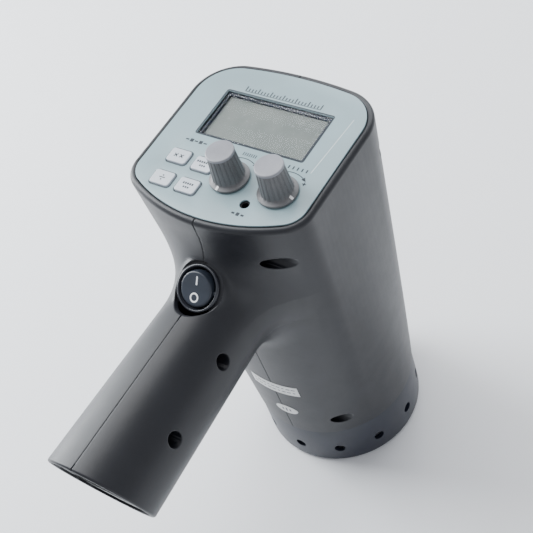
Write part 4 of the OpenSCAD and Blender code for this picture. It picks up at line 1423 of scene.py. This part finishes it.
def build_knob(knob, pointer):
    """Fluted grip on a conical skirt, a pale crown and a pointer."""
    s = bpy.context.scene.strobe_knobs
    panel = bpy.context.scene.strobe_panel
    x, y = knob_place(knob)
    low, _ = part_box(f"{knob}_knob")
    foot = low.z
    crown_top = panel.face + s.rise
    cap_height = 1.6 * MM
    neck_z = foot + 1.9 * MM
    base = s.skirt / 2 - 2.0 * MM
    top = s.crown / 2 - 0.25 * MM
    skirt = [(s.skirt / 2 - 0.5 * MM, foot, 0)]
    skirt += [(s.skirt / 2 - 0.35 * MM * (1 - math.sin(a)), foot + 0.35 * MM * (1 - math.cos(a)), 0)
              for a in (math.pi / 2 * i / 3 for i in range(4))]
    skirt += [(r, z, 0) for r, z in quarter(s.skirt / 2, foot + 1.25 * MM, 0.5 * MM)]
    skirt += [(base + 0.7 * MM, neck_z - 0.12 * MM, 0), (base + 0.2 * MM, neck_z + 0.1 * MM, 0.25)]
    grip = []
    for i in range(13):
        part = i / 12
        rise = neck_z + 0.45 * MM + part * (crown_top - cap_height - neck_z - 0.45 * MM)
        grip.append((base + (top - base) * part, rise, min(1.0, 0.6 + 3 * part)))
    body = mesh_object(f"{knob}_grip", moved(fluted(skirt + grip, s.flutes, s.flute_depth, 12),
                                             Matrix.Translation((x, y, 0))))
    shade(body, 50)
    grey = finish_named("knob_grip", moulded, tuple(s.grip_tone), 0.40, 0.22 * MM, 0.012 * MM)
    piece(body, grey, f"{knob}_control", f"{knob}_knob")
    start = crown_top - cap_height
    profile = [(0, start), (top - 0.6 * MM, start), (s.crown / 2 - 0.15 * MM, start + 0.05 * MM),
               (s.crown / 2, start + 0.25 * MM)]
    profile += quarter(s.crown / 2, crown_top - 0.12 * MM, 0.7 * MM, steps=6)
    profile += [(s.crown / 4, crown_top - 0.03 * MM), (0, crown_top)]
    crown = mesh_object(f"{knob}_crown", moved(turned(profile, 96, False), Matrix.Translation((x, y, 0))))
    shade(crown, 40)
    pale = finish_named("knob_crown", moulded, tuple(s.crown_tone), 0.33, 0.2 * MM, 0.006 * MM, 0.1)
    piece(crown, pale, f"{knob}_control", f"{knob}_knob_cap")
    middle_radius = (s.skirt / 2 + base) / 2 - 0.1 * MM
    slope = Matrix.Rotation(pointer, 4, "Z") @ Matrix.Translation((middle_radius, 0, foot + 1.62 * MM)) \
        @ Matrix.Rotation(math.radians(19), 4, "Y")
    mark = moved(plate(bar(0, 0, 2.2 * MM, 1.3 * MM, 0, 0.2 * MM), [], -0.3 * MM, 0.14 * MM, 0.05 * MM, 1),
                 Matrix.Translation((x, y, 0)) @ slope)
    white = finish_named("pointer_white", moulded, (0.80, 0.80, 0.80), 0.45, 0.3 * MM, 0.006 * MM, 0, 0.03)
    piece(mesh_object(f"{knob}_pointer", mark), white, f"{knob}_control")


# ---------------------------------------------------------------- power switch

def build_bezel():
    """Switch body: a round bezel with a bore for the rocker."""
    s = bpy.context.scene.strobe_switch
    low, high = s.bezel / 2 - 1.5 * MM, s.bezel / 2
    bore = s.ball + 0.3 * MM
    profile = [(0, -19 * MM), (low - 0.4 * MM, -19 * MM), (low, -18.6 * MM), (low, 0), (high - 0.1 * MM, 0)]
    profile += [(high, 0.1 * MM)] + quarter(high, s.bezel_height, 0.75 * MM, steps=6)
    lip = bore + 1.05 * MM
    profile += [(lip + 0.35 * MM, s.bezel_height), (lip + 0.1 * MM, s.bezel_height - 0.1 * MM),
                (lip, s.bezel_height - 0.35 * MM), (bore + 0.1 * MM, -0.6 * MM), (bore, -1.2 * MM)]
    profile += [(bore, -s.ball - 1 * MM), (0, -s.ball - 1 * MM)]
    body = mesh_object("switch_bezel", moved(turned(profile, 128), switch_frame()))
    shade(body, 35)
    material = finish_named("switch_nylon", moulded, (0.024, 0.026, 0.033), 0.26, 0.25 * MM, 0.006 * MM, 0.1)
    piece(body, material, "housing", "switch_body")


class RockerShape:
    """Ball round the pivot, cut by the two halves of the face and by a flat underneath."""

    def __init__(self, settings):
        self.s = settings

    def distance(self, p):
        s = self.s
        ball = np.linalg.norm(p, axis=1) - s.ball
        valley = np.hypot(p[:, 1], 1.2 * MM) - 1.2 * MM
        top = p[:, 2] - (s.rocker_top - 0.8 * MM) - valley * math.tan(s.valley)
        return np.maximum(rounded_max(ball, top, 0.55 * MM), -4 * MM - p[:, 2])

    def mesh(self, around=128, down=110):
        """Sphere of directions whose points are moved in or out onto the shape."""
        angle = np.arange(around) * math.tau / around
        tilt = np.linspace(0, math.pi, down + 2)[1:-1]
        flat = np.array([(math.sin(t) * math.cos(a), math.sin(t) * math.sin(a), math.cos(t))
                         for t in tilt for a in angle] + [(0, 0, 1), (0, 0, -1)])
        near, far = np.zeros(len(flat)), np.full(len(flat), 12 * MM)
        for _ in range(32):
            halfway = (near + far) / 2
            inside = self.distance(flat * halfway[:, None]) < 0
            near, far = np.where(inside, halfway, near), np.where(inside, far, halfway)
        shape = bmesh.new()
        verts = [shape.verts.new(point) for point in flat * near[:, None]]
        for row in range(down - 1):
            for k in range(around):
                n = (k + 1) % around
                shape.faces.new((verts[row * around + k], verts[row * around + n],
                                 verts[(row + 1) * around + n], verts[(row + 1) * around + k]))
        for k in range(around):
            n = (k + 1) % around
            shape.faces.new((verts[-2], verts[k], verts[n]))
            last = (down - 1) * around
            shape.faces.new((verts[-1], verts[last + n], verts[last + k]))
        return shape


def build_rocker():
    """Rocker in its off position, on pins, with a bar and a ring on its two halves."""
    s = bpy.context.scene.strobe_switch
    rest = switch_frame() @ Matrix.Rotation(s.swing / 2, 4, "X")
    pins = moved(rod(1.2 * MM, -s.bezel / 2 + 1.75 * MM, s.bezel / 2 - 1.75 * MM, 32),
                 Matrix.Rotation(math.pi / 2, 4, "Y"))
    rocker = mesh_object("power_rocker_cap", moved(joined(RockerShape(s).mesh(), pins), rest))
    shade(rocker, 40)
    slate = finish_named("rocker_slate", moulded, tuple(s.tone), 0.30, 0.3 * MM, 0.01 * MM, 0.1, 0.08)
    piece(rocker, slate, "rocker", "switch_rocker")
    height = s.rocker_top - 0.8 * MM - 0.02 * MM
    marks = []
    for side, shape in ((1, plate(bar(0, 0, 0.8 * MM, 4.4 * MM, 0, 0.2 * MM), [], 0, 0.09 * MM)),
                        (-1, plate(circle(2.35 * MM), [circle(1.6 * MM)], 0, 0.09 * MM))):
        face = Matrix.Translation((0, 0, height)) @ Matrix.Rotation(side * s.valley, 4, "X") \
            @ Matrix.Translation((0, side * 4.15 * MM, -0.13 * MM))
        marks.append(moved(shape, rest @ face))
    white = finish_named("rocker_white", moulded, (0.85, 0.86, 0.88), 0.4, 0.3 * MM, 0.004 * MM, 0, 0.03)
    piece(mesh_object("power_rocker_marks", joined(*marks)), white, "rocker")


# ---------------------------------------------------------------- handle end

def build_end_cap():
    """Cap in the handle's end, with its well and the flange that the shells hold."""
    s = bpy.context.scene.strobe_handle
    face = -s.cap_recess
    inset = 3.625 * MM
    well_corner, well_wall = 9 * MM, 1 * MM
    height = s.end_height / math.cos(s.lean)
    rim = oval(s.end_width - 2 * inset, height - 2 * inset, 128)
    flange = oval(s.end_width - 2.9 * MM, height - 2.9 * MM, 128)
    well = rounded_rectangle(s.well_width, s.well_height, well_corner, 0, -s.well_drop, 10)
    wall = rounded_rectangle(s.well_width + 2 * well_wall, s.well_height + 2 * well_wall,
                             well_corner + well_wall, 0, -s.well_drop, 10)
    mouth = rounded_rectangle(27 * MM, 19.5 * MM, 0.8 * MM, 0, -s.well_drop, 3)
    parts = joined(
        plate(rim, [well], face - 3 * MM, face, 0.55 * MM, 4),
        plate(flange, [well], face - 3 * MM, face - 1.5 * MM),
        plate(wall, [well], face - s.well_depth, face - 2.9 * MM),
        plate(wall, [mouth], face - s.well_depth - 1.5 * MM, face - s.well_depth))
    cap = mesh_object("handle_end_cap", moved(parts, handle_end_frame()))
    shade(cap, 38)
    # The cap's light grey is a painted highlight on its flat face.
    material = finish_named("satin_cap", moulded, tuple(s.cap_tone_with_painted_highlight), 0.34, 0.35 * MM, 0.012 * MM, 0.1)
    piece(cap, material, "housing", "end_cap")


def build_inlet():
    """Mains socket behind the well, with its keyed cavity and three blades."""
    s = bpy.context.scene.strobe_handle
    front = -(s.cap_recess + s.well_depth)
    back = front - 1.5 * MM - 18 * MM
    key = 5 * MM
    x, y = 12.1 * MM, 8.35 * MM
    cavity = [(-x, -y), (x, -y), (x, y - key), (x - key, y), (key - x, y), (-x, y - key)]
    cavity = [(px, py - s.well_drop) for px, py in cavity]
    floor = front - 15 * MM
    outer = rounded_rectangle(30 * MM, 22.5 * MM, 1.2 * MM, 0, -s.well_drop, 4)
    nose = rounded_rectangle(26.7 * MM, 19.2 * MM, 0.8 * MM, 0, -s.well_drop, 3)
    parts = joined(
        plate(nose, [cavity], front - 1.6 * MM, front, 0.3 * MM, 2),
        plate(outer, [cavity], floor, front - 1.5 * MM),
        plate(outer, [], back, floor, 0.0))
    socket = mesh_object("mains_socket", moved(parts, handle_end_frame()))
    shade(socket, 38)
    material = finish_named("socket_black", moulded, (0.014, 0.014, 0.016), 0.38, 0.3 * MM, 0.01 * MM)
    piece(socket, material, "housing", "mains_inlet")
    blades = [plate(rounded_rectangle(2 * MM, 4 * MM, 0.3 * MM, px, py - s.well_drop, 3), [],
                    back - 1.5 * MM, front - 3.5 * MM, 0.5 * MM, 3)
              for px, py in ((-7 * MM, -2 * MM), (7 * MM, -2 * MM), (0, 2 * MM))]
    pins = mesh_object("mains_blades", moved(joined(*blades), handle_end_frame()))
    shade(pins, 38)
    piece(pins, finish_named("tinned_brass", metal, (0.72, 0.62, 0.42), 0.3), "housing", "inlet_pins")


# ---------------------------------------------------------------- labels

def wrapped(surface, outline_at, across, up, x, z, lift, thick):
    """Thin sheet laid on the front of the head, from a grid of (u, v) in -1..1."""
    grid = [(u, v) for v in np.linspace(-1, 1, up) for u in np.linspace(-1, 1, across)]
    flat = np.array([outline_at(u, v) for u, v in grid])
    sheets = []
    for height in (lift, lift + thick):
        p = np.stack((x + flat[:, 0], np.full(len(flat), -0.055), z + flat[:, 1]), axis=1)
        for _ in range(24):
            error = surface.value(p) - height
            p[:, 1] += np.clip(error, -2 * MM, 2 * MM)
        sheets.append(p)
    shape = bmesh.new()
    low, high = [[shape.verts.new(point) for point in sheet] for sheet in sheets]
    for j in range(up - 1):
        for i in range(across - 1):
            a, b = j * across + i, j * across + i + 1
            c, d = b + across, a + across
            shape.faces.new((high[a], high[b], high[c], high[d]))
            shape.faces.new((low[d], low[c], low[b], low[a]))
    border = [i for i in range(across)] + [j * across + across - 1 for j in range(1, up)]
    border += [(up - 1) * across + i for i in range(across - 2, -1, -1)]
    border += [j * across for j in range(up - 2, 0, -1)]
    for a, b in zip(border, border[1:] + border[:1]):
        shape.faces.new((low[a], low[b], high[b], high[a]))
    return shape


def box_grid(width, height, x=0.0, y=0.0):
    """Square grid stretched to a rectangle."""
    return lambda u, v: (x + u * width / 2, y + v * height / 2)


def oval_grid(width, height):
    """Square grid squeezed into an ellipse."""
    return lambda u, v: (width / 2 * u * math.sqrt(1 - v * v / 2), height / 2 * v * math.sqrt(1 - u * u / 2))


def build_labels():
    """Two labels on the front of the head, with rows of plain dashes."""
    surface = ShellSurface()
    paper = finish_named("label_paper", paper_label)
    inked = finish_named("label_ink", ink, (0.10, 0.11, 0.13))
    paper_lift, paper_thick = 0.03 * MM, 0.16 * MM
    ink_lift, ink_thick = 0.19 * MM, 0.02 * MM
    places = {"rating_label": (box_grid(29.5 * MM, 9 * MM), 0.3 * MM, 78.5 * MM),
              "check_label": (oval_grid(14 * MM, 8 * MM), 2 * MM, 55 * MM)}
    for node, (grid, x, z) in places.items():
        sheet = mesh_object(f"{node}_sheet", wrapped(surface, grid, 41, 17, x, z, paper_lift, paper_thick))
        shade(sheet, 50)
        piece(sheet, paper, "housing", node)
    _, x, z = places["rating_label"]
    dashes = []
    for row in range(2):
        for i in range(9):
            wide = (2.3 if (i + row) % 3 else 1.3) * MM
            grid = box_grid(wide, 0.8 * MM, (i - 4) * 3.0 * MM, (1.6 - 3.2 * row) * MM)
            dashes.append(wrapped(surface, grid, 5, 3, x, z, ink_lift, ink_thick))
    _, x, z = places["check_label"]
    for i in (-1, 0, 1):
        grid = box_grid(1.1 * MM, (3.4 - 1.2 * abs(i)) * MM, i * 2.3 * MM)
        dashes.append(wrapped(surface, grid, 3, 7, x, z, ink_lift, ink_thick))
    marks = mesh_object("label_print", joined(*dashes))
    piece(marks, inked, "housing")


# ---------------------------------------------------------------- pieces kept from the frame

def paint_kept_nodes():
    """Gives every node that keeps its own mesh a finish."""
    steel = finish_named("zinc_plate", metal, (0.60, 0.60, 0.62), 0.34)
    bright = finish_named("bright_steel", metal, (0.72, 0.72, 0.74), 0.22)
    black = finish_named("black_moulding", moulded, (0.016, 0.017, 0.020), 0.45)
    board = finish_named("green_board", circuit_board)
    finishes = {
        "shell_screws": steel, "board_screws": steel, "tube_electrodes": steel, "pot_nuts": steel,
        "fine_shaft": bright, "coarse_shaft": bright,
        "fine_pot": finish_named("stamped_can", metal, (0.52, 0.52, 0.54), 0.38, (1, 8, 1)),
        "lens_gasket": finish_named("foam_gasket", rubber, (0.014, 0.014, 0.014)),
        "front_lens": finish_named("clear_lens", clear, (0.95, 0.97, 0.98), 0.02, 0.03),
        "lens_retainer": black, "panel_plate": black, "key_switches": black,
        "reflector": finish_named("plated_dish", mirror_dish),
        "flash_tube": finish_named("tube_glass", clear, (0.95, 0.97, 1.0), 0.01, 0.02),
        "lamp_socket": finish_named("steatite", ceramic),
        "lcd_module": finish_named("display_face", display_glass),
        "main_board": board, "power_board": board,
        "ext_jack": finish_named("jack_moulding", moulded, (0.012, 0.012, 0.014), 0.35, 0.3 * MM, 0.008 * MM),
        "switch_terminals": finish_named("tinned_brass", metal, (0.72, 0.62, 0.42), 0.3),
        "storage_capacitors": finish_named("capacitor_sleeve", striped, (0.03, 0.05, 0.16),
                                           (0.55, 0.57, 0.60), 0, 14 * MM, 0.35, 0.0, 0.9),
        "transformer_core": finish_named("varnished_laminations", striped, (0.13, 0.13, 0.14),
                                         (0.20, 0.19, 0.18), 1, 0.7 * MM, 0.45, 0.5),
        "transformer_winding": finish_named("winding_tape", striped, (0.50, 0.29, 0.04),
                                            (0.62, 0.38, 0.07), 2, 3.2 * MM, 0.35),
        "trigger_coil": finish_named("potted_coil", moulded, (0.28, 0.02, 0.02), 0.3, 0.8 * MM, 0.03 * MM),
        "mains_wires": finish_named("brown_insulation", rubber, (0.13, 0.06, 0.03), 0.45),
        "switch_wires": finish_named("blue_insulation", rubber, (0.03, 0.08, 0.27), 0.45),
        "lamp_wires": finish_named("white_insulation", rubber, (0.58, 0.55, 0.48), 0.5),
        "panel_wires": finish_named("grey_insulation", rubber, (0.30, 0.30, 0.32), 0.45),
    }
    finishes["coarse_pot"] = finishes["fine_pot"]
    for node, material in finishes.items():
        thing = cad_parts[node]
        thing.data.materials.clear()
        thing.data.materials.append(material)


# ---------------------------------------------------------------- stage

def softbox(name, place, target, width, height, power, tone=(1, 1, 1)):
    """Rectangular light at place, turned to its target."""
    light = bpy.data.lights.new(name, "AREA")
    light.shape = "RECTANGLE"
    light.size, light.size_y = width, height
    light.energy = power
    light.color = tone
    made = bpy.data.objects.new(name, light)
    bpy.context.scene.collection.objects.link(made)
    made.location = place
    made.rotation_euler = (Vector(target) - Vector(place)).to_track_quat("-Z", "Y").to_euler()


def build_stage():
    """Floor, softboxes, sky and camera."""
    s = bpy.context.scene.strobe_stage
    floor = mesh_object("floor", plate(rounded_rectangle(6, 6, 1.5), [], -0.02, -0.0002, 0.005, 2))
    shade(floor)
    floor.data.materials.append(finish_named("floor_paint", floor_paint, tuple(s.floor_tone)))
    middle_height = (0, -0.05, 0.13)
    softbox("left_softbox", (-0.95, -0.05, 0.62), middle_height, 0.55, 1.5, 30, (0.93, 0.97, 1.0))
    softbox("back_softbox", (-0.1, 1.05, 0.75), middle_height, 1.1, 0.6, 9, (0.93, 0.97, 1.0))
    softbox("top_softbox", (-0.30, 0.30, 1.25), (0, 0, 0.2), 0.8, 0.8, 9)
    softbox("front_fill", (0.9, -0.75, 0.35), middle_height, 0.5, 0.5, 1.2, (0.9, 0.94, 1.0))
    world = bpy.data.worlds.new("studio")
    world.use_nodes = True
    background = world.node_tree.nodes["Background"]
    background.inputs["Color"].default_value = (0.93, 0.95, 1.0, 1)
    background.inputs["Strength"].default_value = 0.62
    bpy.context.scene.world = world
    camera = bpy.data.objects.new("camera", bpy.data.cameras.new("camera"))
    bpy.context.scene.collection.objects.link(camera)
    place = Vector((s.camera_x, s.camera_y, s.camera_z))
    ahead = Vector((s.target_x, s.target_y, s.target_z)) - place
    aim = ahead.to_track_quat("-Z", "Y").to_matrix().to_4x4()
    camera.matrix_world = Matrix.Translation(place) @ aim @ Matrix.Rotation(s.roll, 4, "Z")
    camera.data.lens = s.lens
    camera.data.sensor_width = 36
    camera.data.clip_start = 0.01
    bpy.context.scene.camera = camera


# ---------------------------------------------------------------- operators

class StrobeOperator(bpy.types.Operator):
    """Builds one group of pieces."""
    bl_options = {"REGISTER", "UNDO"}

    def execute(self, context):
        self.build(context.scene)
        return {"FINISHED"}


class STROBE_OT_shells(StrobeOperator):
    """Build the two housing shells with their seam, rim, pockets and screw recesses"""
    bl_idname = "strobe.shells"
    bl_label = "Housing shells"

    def build(self, scene):
        build_shells()


class STROBE_OT_lens_ring(StrobeOperator):
    """Build the vented lens ring"""
    bl_idname = "strobe.lens_ring"
    bl_label = "Lens ring"

    def build(self, scene):
        build_lens_ring()


class STROBE_OT_panel(StrobeOperator):
    """Build the printed panel film and its marks"""
    bl_idname = "strobe.panel"
    bl_label = "Panel"

    def build(self, scene):
        build_overlay()
        build_panel_marks()
        build_film_pale_line()


class STROBE_OT_display(StrobeOperator):
    """Build the display's window and surround"""
    bl_idname = "strobe.display"
    bl_label = "Display"

    def build(self, scene):
        build_display()


class STROBE_OT_keys(StrobeOperator):
    """Build the four keys and the marks on them"""
    bl_idname = "strobe.keys"
    bl_label = "Keys"

    def build(self, scene):
        build_keys()


class STROBE_OT_knobs(StrobeOperator):
    """Build the fine and coarse knobs with their crowns and pointers"""
    bl_idname = "strobe.knobs"
    bl_label = "Knobs"

    def build(self, scene):
        build_knob("fine", scene.strobe_knobs.fine_pointer)
        build_knob("coarse", scene.strobe_knobs.coarse_pointer)


class STROBE_OT_switch(StrobeOperator):
    """Build the round rocker switch"""
    bl_idname = "strobe.switch"
    bl_label = "Power switch"

    def build(self, scene):
        build_bezel()
        build_rocker()


class STROBE_OT_handle_end(StrobeOperator):
    """Build the end cap and the mains socket in the handle's end"""
    bl_idname = "strobe.handle_end"
    bl_label = "Handle end"

    def build(self, scene):
        build_end_cap()
        build_inlet()


class STROBE_OT_labels(StrobeOperator):
    """Build the two labels on the front of the head"""
    bl_idname = "strobe.labels"
    bl_label = "Labels"

    def build(self, scene):
        build_labels()


class STROBE_OT_kept_nodes(StrobeOperator):
    """Give the pieces kept from the frame their finishes"""
    bl_idname = "strobe.kept_nodes"
    bl_label = "Inner pieces"

    def build(self, scene):
        paint_kept_nodes()


class STROBE_OT_stage(StrobeOperator):
    """Build the floor, the lights and the camera"""
    bl_idname = "strobe.stage"
    bl_label = "Stage"

    def build(self, scene):
        build_stage()


OPERATORS = (
    STROBE_OT_shells, STROBE_OT_lens_ring, STROBE_OT_panel, STROBE_OT_display, STROBE_OT_keys,
    STROBE_OT_knobs, STROBE_OT_switch, STROBE_OT_handle_end, STROBE_OT_labels,
    STROBE_OT_kept_nodes, STROBE_OT_stage,
)


class STROBE_PT_panel(bpy.types.Panel):
    """Lists the build steps and their settings"""
    bl_label = "Stroboscope"
    bl_idname = "STROBE_PT_panel"
    bl_space_type = "VIEW_3D"
    bl_region_type = "UI"
    bl_category = "Stroboscope"

    def draw(self, context):
        for operator in OPERATORS:
            self.layout.operator(operator.bl_idname)
        for group in GROUPS:
            box = self.layout.box()
            settings = getattr(context.scene, group)
            for name in settings.bl_rna.properties.keys():
                if name not in ("rna_type", "name"):
                    box.prop(settings, name)


def register():
    for group, settings in GROUPS.items():
        bpy.utils.register_class(settings)
        setattr(bpy.types.Scene, group, PointerProperty(type=settings))
    for operator in OPERATORS:
        bpy.utils.register_class(operator)
    bpy.utils.register_class(STROBE_PT_panel)


def unregister():
    bpy.utils.unregister_class(STROBE_PT_panel)
    for operator in reversed(OPERATORS):
        bpy.utils.unregister_class(operator)
    for group, settings in GROUPS.items():
        delattr(bpy.types.Scene, group)
        bpy.utils.unregister_class(settings)


def main():
    register()
    for operator in OPERATORS:
        getattr(bpy.ops.strobe, operator.bl_idname.split(".")[1])()


if __name__ == "__main__":
    main()
